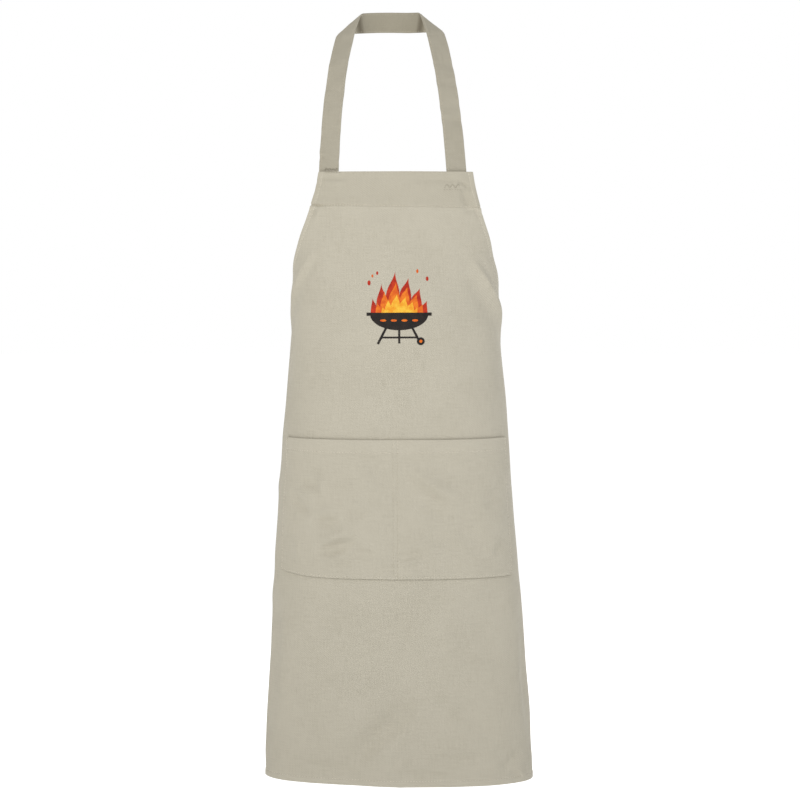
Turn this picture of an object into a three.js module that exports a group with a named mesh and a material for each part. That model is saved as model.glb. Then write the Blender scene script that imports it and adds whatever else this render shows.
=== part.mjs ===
// A cotton barbecue apron in its worn form: the neck strap goes round the nape, the bib lies on the chest,
// and the skirt wraps the hips, where ties round the back hold it.
// Millimetres, +Z up, front towards -Y. The origin is on the strap's inner face, at the middle of the nape.

import * as THREE from 'three';

// Cloth and seams
const CLOTH = 1.2;
const HEM_CLOTH = 2.2;
const BAND_CLOTH = 1.5;
const SEAM_GAP = 0.35;
const SIDE_HEM = 8;
const BOTTOM_HEM = 11;
const HEM_STEP = 1;

// Heights of the body, measured down from the nape
const BIB_TOP = -227;
const TIE_HEIGHT = -505;
const HEM = -1122;
const SKIRT_HALF = 285;
const FACING_DEPTH = 49;

// Pocket
const POCKET_TOP = -614.5;
const POCKET_BOTTOM = -816.5;
const POCKET_HALF_TOP = 177;
const POCKET_HALF_BOTTOM = 185;
const POCKET_CORNER_RISE = 8;
const POCKET_GAPE = 10;
const POCKET_SWELL_POWER = 0.7;
const POCKET_TAPER_POWER = 1.3;
const POCKET_HEM = 20;

// Neck strap
const STRAP_WIDTH = 30;
const FOLD_RADIUS = 5;
const NAPE_LEAN = 12;
const NAPE_PULL = 17;
const STRAP_BEHIND_BIB = 0.6;

// Waist ties
const TIE_WIDTH = 24;
const TIE_OVERLAP = 26;
const TIE_BACK = 58;
const TIE_CENTRE = 7;
const TIE_PULL = 45;
const TIE_GATHER = 0.6;
const KNOT = { width: 34, height: 30, depth: 15, corner: 7, bevel: 3 };
const KNOT_Z = TIE_HEIGHT - TIE_WIDTH / 2 - 2;

// Hanging ends of the ties: start and swing are the distances out from the middle, bow and belly the bends
// along the end, neck the width at the knot, and widening the share of the length that takes to open out
const TAIL = {
  length: 340, start: 8.5, swing: 22, bow: 3, belly: 6, apart: 1.2, slant: 2, neck: 13, widening: 0.22,
};

// Cross-sections of the worn body at falling heights. front is the front line, centre the middle of the cloth,
// half the half width and depth the distance back to the widest line. left and right are the powers of the
// section's curve on each side, 2 for an ellipse, and back is the radius of the cloth behind the widest line.
const SECTIONS = [
  { z: -227, front: -118, centre: 7.5, half: 152.0, depth: 58, left: 2.2, right: 2.2, back: 60 },
  { z: -277, front: -124, centre: 6.5, half: 151.0, depth: 66, left: 2.2, right: 2.2, back: 60 },
  { z: -320, front: -130, centre: 6.0, half: 150.5, depth: 72, left: 2.2, right: 2.2, back: 60 },
  { z: -363, front: -136, centre: 6.0, half: 150.2, depth: 80, left: 2.2, right: 2.2, back: 62 },
  { z: -413, front: -142, centre: 6.5, half: 152.3, depth: 90, left: 2.2, right: 2.2, back: 68 },
  { z: -505, front: -149, centre: 7.1, half: 158.3, depth: 103, left: 2.3, right: 2.3, back: 76 },
  { z: -615, front: -154, centre: 7.5, half: 167.8, depth: 103, left: 2.3, right: 2.35, back: 92 },
  { z: -815, front: -156, centre: 8.2, half: 181.6, depth: 102, left: 2.25, right: 2.45, back: 120 },
  { z: -920, front: -155, centre: 10.0, half: 189.2, depth: 99, left: 2.15, right: 2.5, back: 135 },
  { z: -1022, front: -153, centre: 11.4, half: 195.2, depth: 95, left: 2.05, right: 2.55, back: 150 },
  { z: -1122, front: -151, centre: 12.4, half: 199.7, depth: 90, left: 2, right: 2.6, back: 165 },
];

// Half width of the flat cloth down the scooped armhole
const ARMHOLE = [
  { z: -227, cut: 114 },
  { z: -254, cut: 120 },
  { z: -277, cut: 128 },
  { z: -298, cut: 136 },
  { z: -320, cut: 147 },
  { z: -341, cut: 158.5 },
  { z: -363, cut: 173 },
  { z: -413, cut: 213 },
  { z: -460, cut: 249 },
  { z: -505, cut: 285 },
];

// Tension folds from the bib to the ties: across and z at both ends, height of the ridge and its half width.
// A negative height is a hollow.
const FOLDS = [
  { acrossTop: -112, zTop: -330, acrossEnd: -232, zEnd: -470, height: 3.2, spread: 12 },
  { acrossTop: -128, zTop: -352, acrossEnd: -214, zEnd: -478, height: -2.2, spread: 15 },
  { acrossTop: 104, zTop: -342, acrossEnd: 226, zEnd: -482, height: 3.2, spread: 12 },
  { acrossTop: 96, zTop: -366, acrossEnd: 204, zEnd: -492, height: -2.2, spread: 15 },
];

// Legs of the neck strap. anchor is the place across the bib's top, turn the lean towards the neck, lean the
// angle back at the shoulder, twist the turn along the leg, fold the angle of the shoulder fold across the
// band, roll the angle that the fold turns through, and overlap the length sewn behind the bib.
const LEGS = [
  { side: -1, anchor: 100, turn: 1.7, lean: 39.0, length: 238.3, twist: 9.3, fold: 35.9, roll: 101, overlap: 11 },
  { side: 1, anchor: 90, turn: 3.8, lean: 41.3, length: 242.9, twist: 12.2, fold: 37.4, roll: 106.5, overlap: 25 },
];

// Rows of the body's grid between the lines that its seams need, and its columns between the side hems
const ROW_BANDS = [
  { from: -292, to: -328, steps: 2 },
  { from: -340, to: -490, steps: 14 },
  { from: -540, to: -580, steps: 1 },
  { from: -665, to: -785, steps: 3 },
  { from: -865, to: -1065, steps: 4 },
];
const INNER_COLUMNS = 32;
const POCKET_CORNER_BAND = 12;

const LEAN_POWER = 1.5;
const SECTION_STEPS = 240;
const LEG_STEPS = 60;
const NAPE_STEPS = 6;
const TIE_STEPS = 9;
const TAIL_STEPS = 14;
const PROBE = 2;

const vec = (x, y, z) => new THREE.Vector3(x, y, z);
const mix = (a, b, amount) => a + (b - a) * amount;
const radians = THREE.MathUtils.degToRad;
const spaced = (from, to, count) => Array.from({ length: count + 1 }, (_, i) => mix(from, to, i / count));

// Value of one column of a table at height z, on a smooth curve through the rows
function columnAt(rows, name, z) {
  const last = rows.length - 1;
  if (z >= rows[0].z) return rows[0][name];
  if (z <= rows[last].z) return rows[last][name];
  const k = rows.findIndex((row) => row.z <= z) - 1;
  const slope = (i) => {
    const low = rows[Math.max(i - 1, 0)];
    const high = rows[Math.min(i + 1, last)];
    return (high[name] - low[name]) / (high.z - low.z);
  };
  const run = rows[k + 1].z - rows[k].z;
  const q = (z - rows[k].z) / run;
  const q2 = q * q;
  const q3 = q2 * q;
  const from = (2 * q3 - 3 * q2 + 1) * rows[k][name] + (q3 - 2 * q2 + q) * slope(k) * run;
  const to = (3 * q2 - 2 * q3) * rows[k + 1][name] + (q3 - q2) * slope(k + 1) * run;
  return from + to;
}

function cutAt(z) {
  return z <= TIE_HEIGHT ? SKIRT_HALF : columnAt(ARMHOLE, 'cut', z);
}

// Point of the plain body at a height, a distance across the cloth from its middle
function sectionPoint(across, z) {
  const at = (name) => columnAt(SECTIONS, name, z);
  const side = across < 0 ? -1 : 1;
  const power = 2 / at(side < 0 ? 'left' : 'right');
  const half = at('half');
  const depth = at('depth');
  const wanted = Math.abs(across);
  let gone = 0;
  let x = 0;
  let y = 0;
  for (let i = 1; i <= SECTION_STEPS; i += 1) {
    const angle = (i / SECTION_STEPS) * (Math.PI / 2);
    const nextX = half * Math.sin(angle) ** power;
    const nextY = depth * (1 - Math.max(Math.cos(angle), 0) ** power);
    const step = Math.hypot(nextX - x, nextY - y);
    if (gone + step >= wanted) {
      const part = (wanted - gone) / step;
      return vec(at('centre') + side * mix(x, nextX, part), at('front') + mix(y, nextY, part), z);
    }
    gone += step;
    x = nextX;
    y = nextY;
  }
  const turn = (wanted - gone) / at('back');
  const reach = half - at('back') * (1 - Math.cos(turn));
  return vec(at('centre') + side * reach, at('front') + depth + at('back') * Math.sin(turn), z);
}

// Unit vectors across and up the plain body, and out of its front
function bodyFrame(across, z) {
  const right = sectionPoint(across + PROBE, z).sub(sectionPoint(across - PROBE, z)).normalize();
  const up = sectionPoint(across, z + PROBE).sub(sectionPoint(across, z - PROBE)).normalize();
  return { right, up, out: right.clone().cross(up).normalize() };
}

// Height of the tension folds over the plain body
function foldHeight(across, z) {
  return FOLDS.reduce((sum, fold) => {
    const runAcross = fold.acrossEnd - fold.acrossTop;
    const runZ = fold.zEnd - fold.zTop;
    const length = Math.hypot(runAcross, runZ);
    const along = ((across - fold.acrossTop) * runAcross + (z - fold.zTop) * runZ) / length ** 2;
    const off = ((across - fold.acrossTop) * runZ - (z - fold.zTop) * runAcross) / length;
    if (along <= 0 || along >= 1) return sum;
    return sum + fold.height * Math.sin(Math.PI * along) * Math.exp(-((off / fold.spread) ** 2));
  }, 0);
}

// A point of the body's front face, lifted off it by a distance
function bodyPoint(across, z, lift = 0) {
  const { out } = bodyFrame(across, z);
  return { point: sectionPoint(across, z).addScaledVector(out, foldHeight(across, z) + lift), out };
}

// A closed solid from a grid of points with front and back distances along each point's outward direction
function sheetGeometry(grid) {
  const rows = grid.length;
  const columns = grid[0].length;
  const positions = [];
  const place = ({ point, out }, distance) => {
    positions.push(...point.clone().addScaledVector(out, distance).toArray());
  };
  grid.forEach((row) => row.forEach((spot) => place(spot, spot.front)));
  grid.forEach((row) => row.forEach((spot) => place(spot, spot.back)));
  const front = (i, j) => i * columns + j;
  const back = (i, j) => rows * columns + front(i, j);
  const index = [];
  const quad = (a, b, c, d) => index.push(a, b, c, a, c, d);
  for (let i = 0; i < rows - 1; i += 1) {
    for (let j = 0; j < columns - 1; j += 1) {
      quad(front(i, j), front(i + 1, j), front(i + 1, j + 1), front(i, j + 1));
      quad(back(i, j), back(i, j + 1), back(i + 1, j + 1), back(i + 1, j));
    }
    quad(front(i, 0), back(i, 0), back(i + 1, 0), front(i + 1, 0));
    quad(front(i, columns - 1), front(i + 1, columns - 1), back(i + 1, columns - 1), back(i, columns - 1));
  }
  for (let j = 0; j < columns - 1; j += 1) {
    quad(front(0, j), front(0, j + 1), back(0, j + 1), back(0, j));
    quad(front(rows - 1, j), back(rows - 1, j), back(rows - 1, j + 1), front(rows - 1, j + 1));
  }
  const alongRows = grid[1][0].point.clone().sub(grid[0][0].point);
  const alongColumns = grid[0][1].point.clone().sub(grid[0][0].point);
  if (alongRows.cross(alongColumns).dot(grid[0][0].out) < 0) index.reverse();
  const geometry = new THREE.BufferGeometry();
  geometry.setAttribute('position', new THREE.Float32BufferAttribute(positions, 3));
  geometry.setIndex(index);
  return geometry;
}

// Grid lines that the body, the facing and the pocket share
const seamRows = [
  BIB_TOP,
  BIB_TOP - HEM_STEP,
  BIB_TOP - FACING_DEPTH / 2,
  BIB_TOP - FACING_DEPTH,
  TIE_HEIGHT,
  POCKET_TOP,
  POCKET_TOP - POCKET_HEM,
  POCKET_TOP - POCKET_HEM - HEM_STEP,
  POCKET_BOTTOM + POCKET_CORNER_BAND,
  POCKET_BOTTOM,
  HEM + BOTTOM_HEM + HEM_STEP,
  HEM + BOTTOM_HEM,
  HEM,
];
const bandRows = ROW_BANDS.flatMap(({ from, to, steps }) => spaced(from, to, steps));
const bodyRows = [...seamRows, ...bandRows].sort((a, b) => b - a);

function bodyColumns(z) {
  const cut = cutAt(z);
  const inner = cut - SIDE_HEM - HEM_STEP;
  return [-cut, -cut + SIDE_HEM, ...spaced(-inner, inner, INNER_COLUMNS), cut - SIDE_HEM, cut];
}

function bodyGeometry() {
  const grid = bodyRows.map((z) => bodyColumns(z).map((across) => {
    const onSideHem = cutAt(z) - Math.abs(across) < SIDE_HEM + HEM_STEP / 2;
    const onBottomHem = z < HEM + BOTTOM_HEM + HEM_STEP / 2;
    return { ...bodyPoint(across, z), front: 0, back: onSideHem || onBottomHem ? -HEM_CLOTH : -CLOTH };
  }));
  return sheetGeometry(grid);
}

function facingGeometry() {
  const rows = bodyRows.filter((z) => z < BIB_TOP && z >= BIB_TOP - FACING_DEPTH);
  const front = -CLOTH - SEAM_GAP;
  const grid = rows.map((z) => bodyColumns(z).slice(2, -2).map((across) => (
    { ...bodyPoint(across, z), front, back: front - CLOTH }
  )));
  return sheetGeometry(grid);
}

// How far the pocket stands off the body: two compartments that gape at their mouths
function pocketLift(across, z) {
  const down = (POCKET_TOP - z) / (POCKET_TOP - POCKET_BOTTOM);
  const half = mix(POCKET_HALF_TOP, POCKET_HALF_BOTTOM, down);
  const swell = Math.sin(Math.PI * Math.min(Math.abs(across) / half, 1)) ** POCKET_SWELL_POWER;
  return SEAM_GAP + POCKET_GAPE * swell * Math.max(1 - down, 0) ** POCKET_TAPER_POWER;
}

function pocketGeometry() {
  const rows = bodyRows.filter((z) => z <= POCKET_TOP && z >= POCKET_BOTTOM);
  const skirt = bodyColumns(POCKET_TOP).filter((across) => Math.abs(across) < POCKET_HALF_TOP - HEM_STEP);
  const grid = rows.map((z) => {
    const down = (POCKET_TOP - z) / (POCKET_TOP - POCKET_BOTTOM);
    const half = mix(POCKET_HALF_TOP, POCKET_HALF_BOTTOM, down);
    const thick = z > POCKET_TOP - POCKET_HEM - HEM_STEP / 2 ? HEM_CLOTH : CLOTH;
    return [-half, ...skirt, half].map((across) => {
      const rise = z > POCKET_BOTTOM ? 0 : POCKET_CORNER_RISE * Math.max(-across / half, 0) ** 4;
      const lift = pocketLift(across, z);
      return { ...bodyPoint(across, z + rise), front: lift + thick, back: lift };
    });
  });
  return sheetGeometry(grid);
}

// One leg of the neck strap with its shoulder fold, as a map from the flat band to space. along runs up the
// band from the bib's top, and offset runs across it, from the outer edge to the edge at the neck.
function strapLeg(leg) {
  const frame = bodyFrame(leg.side * leg.anchor, BIB_TOP - HEM_STEP);
  const behind = CLOTH + SEAM_GAP + CLOTH + STRAP_BEHIND_BIB + BAND_CLOTH / 2;
  const turn = radians(leg.turn);
  const inward = frame.right.clone().multiplyScalar(-leg.side);
  const across = inward.multiplyScalar(Math.cos(turn)).addScaledVector(frame.up, -Math.sin(turn)).normalize();
  const climb = frame.out.clone().cross(across).normalize();
  if (climb.z < 0) climb.negate();
  const start = sectionPoint(leg.side * leg.anchor, BIB_TOP).addScaledVector(frame.out, -behind);

  const direction = (share) => {
    const angle = radians(leg.lean) * share ** LEAN_POWER;
    return climb.clone().multiplyScalar(Math.cos(angle)).addScaledVector(frame.out, -Math.sin(angle));
  };
  const acrossAt = (share) => (
    across.clone().applyAxisAngle(direction(share), leg.side * radians(leg.twist) * share)
  );
  const legPoint = (along) => {
    const point = start.clone();
    for (let i = 0; i < LEG_STEPS; i += 1) {
      point.addScaledVector(direction(((i + 0.5) / LEG_STEPS) * (along / leg.length)), along / LEG_STEPS);
    }
    return point;
  };

  const fold = radians(leg.fold);
  const roll = radians(leg.roll);
  const top = legPoint(leg.length);
  const topDirection = direction(1);
  const topAcross = acrossAt(1);
  const topOut = topAcross.clone().cross(topDirection);
  if (topOut.dot(frame.out) < 0) topOut.negate();
  const axis = topDirection.clone().multiplyScalar(Math.cos(fold)).addScaledVector(topAcross, Math.sin(fold));
  const over = topDirection.clone().multiplyScalar(Math.sin(fold)).addScaledVector(topAcross, -Math.cos(fold));

  const foldPoint = (along, offset) => {
    const onAxis = along * Math.cos(fold) + offset * Math.sin(fold);
    const past = along * Math.sin(fold) - offset * Math.cos(fold);
    const angle = THREE.MathUtils.clamp(past / FOLD_RADIUS, 0, roll);
    const straight = past < 0 ? past : Math.max(past - FOLD_RADIUS * roll, 0);
    const outward = FOLD_RADIUS * Math.sin(angle) + straight * Math.cos(angle);
    const backward = FOLD_RADIUS * (1 - Math.cos(angle)) + straight * Math.sin(angle);
    return top.clone()
      .addScaledVector(axis, onAxis)
      .addScaledVector(over, outward)
      .addScaledVector(topOut, -backward);
  };

  const reach = (STRAP_WIDTH / 2) * (Math.cos(fold) / Math.sin(fold));
  const end = (FOLD_RADIUS * roll) / Math.sin(fold) + reach;
  const pointAt = (along, offset) => {
    if (along <= 0) {
      const bent = leg.anchor - offset * Math.cos(turn) - along * Math.sin(turn);
      const z = BIB_TOP + along * Math.cos(turn) - offset * Math.sin(turn);
      const { point, out } = bodyPoint(leg.side * bent, Math.min(z, BIB_TOP));
      return point.addScaledVector(out, -behind).setZ(z);
    }
    if (along >= leg.length - reach) return foldPoint(along - leg.length, offset);
    return legPoint(along).addScaledVector(acrossAt(along / leg.length), offset);
  };
  return { pointAt, reach, end };
}

// Stations along the band from its sewn end to the end of the shoulder fold
function legStations(leg, { reach, end }) {
  return [
    ...spaced(-leg.overlap, -1, 2),
    ...spaced(1, leg.length - reach - 1, 9),
    ...spaced(leg.length - reach, leg.length + end, 20),
  ];
}

function strapGeometry() {
  const offsets = spaced(-STRAP_WIDTH / 2, STRAP_WIDTH / 2, 4);
  const lean = radians(NAPE_LEAN);
  const napeUp = vec(0, -Math.sin(lean), Math.cos(lean));
  const nape = vec(0, BAND_CLOTH / 2, 0);
  const halves = LEGS.map((leg) => {
    const map = strapLeg(leg);
    const finish = leg.length + map.end;
    const lines = legStations(leg, map).map((along) => offsets.map((offset) => map.pointAt(along, offset)));
    const from = map.pointAt(finish, 0);
    const heading = from.clone().sub(map.pointAt(finish - 1, 0)).normalize();
    const fromUp = map.pointAt(finish, 1).sub(from).normalize();
    const curve = new THREE.CubicBezierCurve3(
      from,
      from.clone().addScaledVector(heading, NAPE_PULL),
      nape.clone().add(vec(leg.side * NAPE_PULL, 0, 0)),
      nape,
    );
    const round = spaced(1 / NAPE_STEPS, 1, NAPE_STEPS - 1).map((share) => {
      const middle = curve.getPoint(share);
      const up = fromUp.clone().lerp(napeUp, share).normalize();
      return offsets.map((offset) => middle.clone().addScaledVector(up, offset));
    });
    return [...lines, ...round];
  });
  const points = [...halves[0], ...halves[1].slice(0, -1).reverse()];
  const grid = points.map((line, i) => line.map((point, j) => {
    const before = points[Math.max(i - 1, 0)][j];
    const after = points[Math.min(i + 1, points.length - 1)][j];
    const travel = after.clone().sub(before);
    const across = line[Math.min(j + 1, line.length - 1)].clone().sub(line[Math.max(j - 1, 0)]);
    return { point, out: across.cross(travel).normalize(), front: BAND_CLOTH / 2, back: -BAND_CLOTH / 2 };
  }));
  return sheetGeometry(grid);
}

// A waist tie: sewn inside the skirt's corner, then round the back to the knot, where it narrows
function tieGeometry(side) {
  const inside = HEM_CLOTH + SEAM_GAP + CLOTH / 2;
  const heights = spaced(-TIE_WIDTH / 2, TIE_WIDTH / 2, 2);
  const knotSide = vec(TIE_CENTRE + side * (KNOT.width / 2 + SEAM_GAP), TIE_BACK, KNOT_Z);
  const grid = heights.map((rise) => {
    const z = KNOT_Z + rise;
    const sewn = spaced(SKIRT_HALF - TIE_OVERLAP, SKIRT_HALF, 2).map((across) => {
      const { point, out } = bodyPoint(side * across, z);
      return { point: point.addScaledVector(out, -inside), out };
    });
    const start = sewn[sewn.length - 1].point;
    const heading = start.clone().sub(sewn[sewn.length - 2].point).setZ(0).normalize();
    const finish = knotSide.clone().add(vec(0, 0, rise * TIE_GATHER));
    const curve = new THREE.CubicBezierCurve3(
      start,
      start.clone().addScaledVector(heading, TIE_PULL),
      finish.clone().add(vec(side * TIE_PULL, 0, 0)),
      finish,
    );
    const free = spaced(1 / TIE_STEPS, 1, TIE_STEPS - 1).map((share) => {
      const tangent = curve.getTangent(share);
      const out = vec(tangent.y, -tangent.x, 0).multiplyScalar(side).normalize();
      return { point: curve.getPoint(share), out };
    });
    return [...sewn, ...free].map((spot) => ({ ...spot, front: CLOTH / 2, back: -CLOTH / 2 }));
  });
  return sheetGeometry(grid);
}

// A free end of the tie, gathered at the knot and hanging at the back
function tailGeometry(side) {
  const grid = spaced(0, 1, TAIL_STEPS).map((share) => {
    const spread = Math.min(share / TAIL.widening, 1);
    const width = mix(TAIL.neck, TIE_WIDTH, Math.sin((spread * Math.PI) / 2));
    const bend = Math.sin(Math.PI * share);
    const middle = vec(
      TIE_CENTRE + side * (TAIL.start + TAIL.swing * share + TAIL.bow * bend),
      TIE_BACK + side * TAIL.apart + TAIL.belly * bend,
      KNOT_Z - KNOT.height / 2 - SEAM_GAP - TAIL.length * share,
    );
    return spaced(-0.5, 0.5, 2).map((place) => ({
      point: middle.clone().add(vec(place * width, TAIL.slant * place * side, 0)),
      out: vec(0, 1, 0),
      front: CLOTH / 2,
      back: -CLOTH / 2,
    }));
  });
  return sheetGeometry(grid);
}

// The plain flat knot at the middle of the back
function knotGeometry() {
  const w = KNOT.width / 2 - KNOT.bevel;
  const h = KNOT.height / 2 - KNOT.bevel;
  const r = KNOT.corner;
  const outline = new THREE.Shape();
  outline.moveTo(w - r, -h);
  outline.absarc(w - r, -h + r, r, -Math.PI / 2, 0, false);
  outline.absarc(w - r, h - r, r, 0, Math.PI / 2, false);
  outline.absarc(-w + r, h - r, r, Math.PI / 2, Math.PI, false);
  outline.absarc(-w + r, -h + r, r, Math.PI, Math.PI * 1.5, false);
  const geometry = new THREE.ExtrudeGeometry(outline, {
    depth: KNOT.depth - 2 * KNOT.bevel,
    bevelSize: KNOT.bevel,
    bevelThickness: KNOT.bevel,
    bevelSegments: 3,
    curveSegments: 5,
  });
  geometry.translate(0, 0, -(KNOT.depth - 2 * KNOT.bevel) / 2);
  geometry.rotateX(Math.PI / 2);
  return geometry;
}

const twill = { metalness: 0, roughness: 0.92, side: THREE.DoubleSide };
const BEIGE = new THREE.MeshStandardMaterial({ color: 0xc0b9a8, ...twill });
const BEIGE_BAND = new THREE.MeshStandardMaterial({ color: 0xb4ac9b, ...twill });

const apron = new THREE.Group();

function add(name, geometry, material) {
  const mesh = new THREE.Mesh(geometry, material);
  mesh.name = name;
  apron.add(mesh);
  return mesh;
}

add('apron_body', bodyGeometry(), BEIGE);
add('bib_facing', facingGeometry(), BEIGE);
add('pocket', pocketGeometry(), BEIGE);
add('neck_strap', strapGeometry(), BEIGE_BAND);
add('waist_tie_left', tieGeometry(-1), BEIGE_BAND);
add('waist_tie_right', tieGeometry(1), BEIGE_BAND);
add('tie_tail_left', tailGeometry(-1), BEIGE_BAND);
add('tie_tail_right', tailGeometry(1), BEIGE_BAND);
add('tie_knot', knotGeometry(), BEIGE_BAND).position.set(TIE_CENTRE, TIE_BACK, KNOT_Z);

export default apron;
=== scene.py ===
# A cotton barbecue apron in its worn form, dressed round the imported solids.
# The cloth is worked out in millimetres and made in metres, in the solids' frame.

import math

import bpy
import numpy as np
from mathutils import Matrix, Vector


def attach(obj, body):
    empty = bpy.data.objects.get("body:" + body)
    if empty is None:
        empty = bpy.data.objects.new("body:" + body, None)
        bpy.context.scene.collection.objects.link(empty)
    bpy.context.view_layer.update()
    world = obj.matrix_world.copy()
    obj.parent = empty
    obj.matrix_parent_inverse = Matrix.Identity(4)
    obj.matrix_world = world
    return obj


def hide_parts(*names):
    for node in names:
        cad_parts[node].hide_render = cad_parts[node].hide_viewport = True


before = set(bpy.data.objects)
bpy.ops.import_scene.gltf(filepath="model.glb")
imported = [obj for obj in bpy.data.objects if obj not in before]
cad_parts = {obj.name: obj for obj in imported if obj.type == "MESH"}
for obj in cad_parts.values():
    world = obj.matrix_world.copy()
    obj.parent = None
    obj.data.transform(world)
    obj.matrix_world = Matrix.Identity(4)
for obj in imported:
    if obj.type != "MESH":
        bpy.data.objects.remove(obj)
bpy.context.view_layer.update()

MM = 0.001
SEED = 4
rng = np.random.default_rng(SEED)

# Cloth and seams
CLOTH = 1.2
HEM_CLOTH = 2.2
BAND_CLOTH = 1.5
SEAM_GAP = 0.35
SIDE_HEM = 8.0
BOTTOM_HEM = 11.0
HEM_STEP = 1.0

# Heights of the body, measured down from the nape
BIB_TOP = -227.0
TIE_HEIGHT = -505.0
HEM = -1122.0
SKIRT_HALF = 285.0
FACING_DEPTH = 49.0

# Pocket
POCKET_TOP = -614.5
POCKET_BOTTOM = -816.5
POCKET_HALF_TOP = 177.0
POCKET_HALF_BOTTOM = 185.0
POCKET_CORNER_RISE = 8.0
POCKET_GAPE = 1.1
POCKET_SWELL_POWER = 0.7
POCKET_TAPER_POWER = 1.3
POCKET_HEM = 20.0

# Neck strap
STRAP_WIDTH = 30.0
FOLD_RADIUS = 5.0
NAPE_LEAN = 12.0
NAPE_PULL = 17.0
STRAP_BEHIND_BIB = 0.6
LEAN_POWER = 1.5

# Waist ties
TIE_WIDTH = 24.0
TIE_OVERLAP = 26.0
TIE_BACK = 58.0
TIE_CENTRE = 7.0
TIE_PULL = 45.0
TIE_GATHER = 0.6
KNOT_WIDTH = 34.0
KNOT_HEIGHT = 30.0
KNOT_DEPTH = 15.0
KNOT_BAND = 17.0
KNOT_Z = TIE_HEIGHT - TIE_WIDTH / 2 - 2
TAIL_LENGTH = 340.0
TAIL_GATHERED = 13.0
TAIL_SPREAD_SHARE = 0.22
TAIL_START = 8.5
TAIL_DRIFT = 22.0
TAIL_BOW = 3.0
TAIL_HANG = 6.0
TAIL_CURL = 1.3
PLEAT = 1.5
PLEATS = 2.6
TIE_IN_KNOT = 8.0
TAIL_IN_KNOT = 7.0


def table(names, *rows):
    """A table with named columns."""
    return {name: np.array(column, float) for name, column in zip(names.split(), zip(*rows))}


# Cross-sections of the worn body. left and right are the powers of the section's curve on each side,
# 2 for an ellipse, and back is the radius of the cloth behind the widest line.
SECTIONS = table(
    "z front centre half depth left right back",
    (-227, -118, 7.5, 152.0, 58, 2.2, 2.2, 60),
    (-277, -124, 6.5, 151.0, 66, 2.2, 2.2, 60),
    (-320, -130, 6.0, 150.5, 72, 2.2, 2.2, 60),
    (-363, -136, 6.0, 150.2, 80, 2.2, 2.2, 62),
    (-413, -142, 6.5, 152.3, 90, 2.2, 2.2, 68),
    (-505, -149, 7.1, 158.3, 103, 2.3, 2.3, 76),
    (-615, -154, 7.5, 167.8, 103, 2.3, 2.35, 92),
    (-815, -156, 8.2, 181.6, 102, 2.25, 2.45, 120),
    (-920, -155, 10.0, 189.2, 99, 2.15, 2.5, 135),
    (-1022, -153, 11.4, 195.2, 95, 2.05, 2.55, 150),
    (-1122, -151, 12.4, 199.7, 90, 2.0, 2.6, 165),
)

# Half width of the flat cloth down the scooped armhole
ARMHOLE = table(
    "z cut",
    (-227, 114),
    (-254, 120),
    (-277, 128),
    (-298, 136),
    (-320, 147),
    (-341, 158.5),
    (-363, 173),
    (-413, 213),
    (-460, 249),
    (-505, 285),
)

# Folds and creases are straight rows from a start to an end on the flat cloth. A negative height is a
# hollow, and spread is the half width of the row.
FOLD_COLUMNS = "across_start z_start across_end z_end height spread"

# Tension folds from the bib to the ties, each a sharp crest between two hollows
FOLDS = table(
    FOLD_COLUMNS,
    (-112, -330, -232, -470, 4.2, 11),
    (-128, -352, -214, -478, -3.0, 15),
    (-122, -346, -186, -420, 2.0, 4.5),
    (-108, -344, -150, -392, -1.4, 6),
    (104, -342, 226, -482, 4.2, 11),
    (96, -366, 204, -492, -3.0, 15),
    (112, -350, 204, -456, 2.6, 4.2),
    (122, -346, 190, -424, -1.6, 7),
    (-116, -330, -84, -344, 1.8, 11),
    (-76, -314, 48, -290, 1.9, 13),
    (-30, -300, 70, -286, -1.2, 12),
    (150, -540, 146, -606, 1.2, 3.2),
)

# Small creases by the strap's tacks and at the ends of the facing's seam
BIB_CREASES = table(
    FOLD_COLUMNS,
    (-112, -236, -64, -236.6, -2.2, 4.2),
    (-110, -242, -70, -242, 1.3, 4),
    (-121, -240, -101, -250, -1.8, 3.6),
    (-108, -247, -88, -253, -1.2, 4),
    (-120, -258, -84, -264, -0.9, 5),
    (-121, -228, -121, -264, -0.9, 3.5),
    (-132, -273.8, -100, -277.4, -2.6, 2.2),
    (-128, -279, -119, -292, -2.8, 4.4),
    (-119, -281, -113, -294, 1.4, 3.5),
    (10, -238, 62, -239.6, -1.2, 4.6),
    (46, -239.2, 97, -239.2, -2.4, 4),
    (90, -238.6, 109, -250.6, -3.0, 2.6),
    (93, -245.5, 112, -257, 1.7, 2.6),
    (98, -244, 111, -286, -3.6, 6.5),
    (114, -244, 123, -292, 2.2, 3.8),
    (116, -274, 124, -292, -2.4, 3),
    (120, -289.5, 134, -287.5, -2.4, 2.2),
    (96, -281, 122, -283, -1.4, 2),
)

# Soft shades low on the skirt and by its hem
SKIRT_FOLDS = table(
    FOLD_COLUMNS,
    (34, -984, -96, -1110, -4.4, 17),
    (52, -1004, -62, -1114, 2.4, 13),
    (-166, -1092, -66, -1100, -2.0, 8),
    (-20, -1102, 90, -1108, -1.8, 6),
    (44, -1086, 134, -1082, -2.2, 9),
    (150, -1108, 186, -1072, -2.3, 9),
    (146, -1088, 166, -1098, -0.8, 3.4),
    (166, -1104, 186, -1115, -1.8, 3.4),
    (178, -1098, 198, -1116, 1.5, 3.4),
    (24, -900, 76, -922, -1.7, 11),
    (-80, -924, -16, -908, 1.7, 12),
    (90, -1010, 150, -1060, -1.8, 15),
    (-196, -860, -214, -1080, -2.6, 16),
    (206, -850, 222, -1090, -3.1, 16),
)

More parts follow.
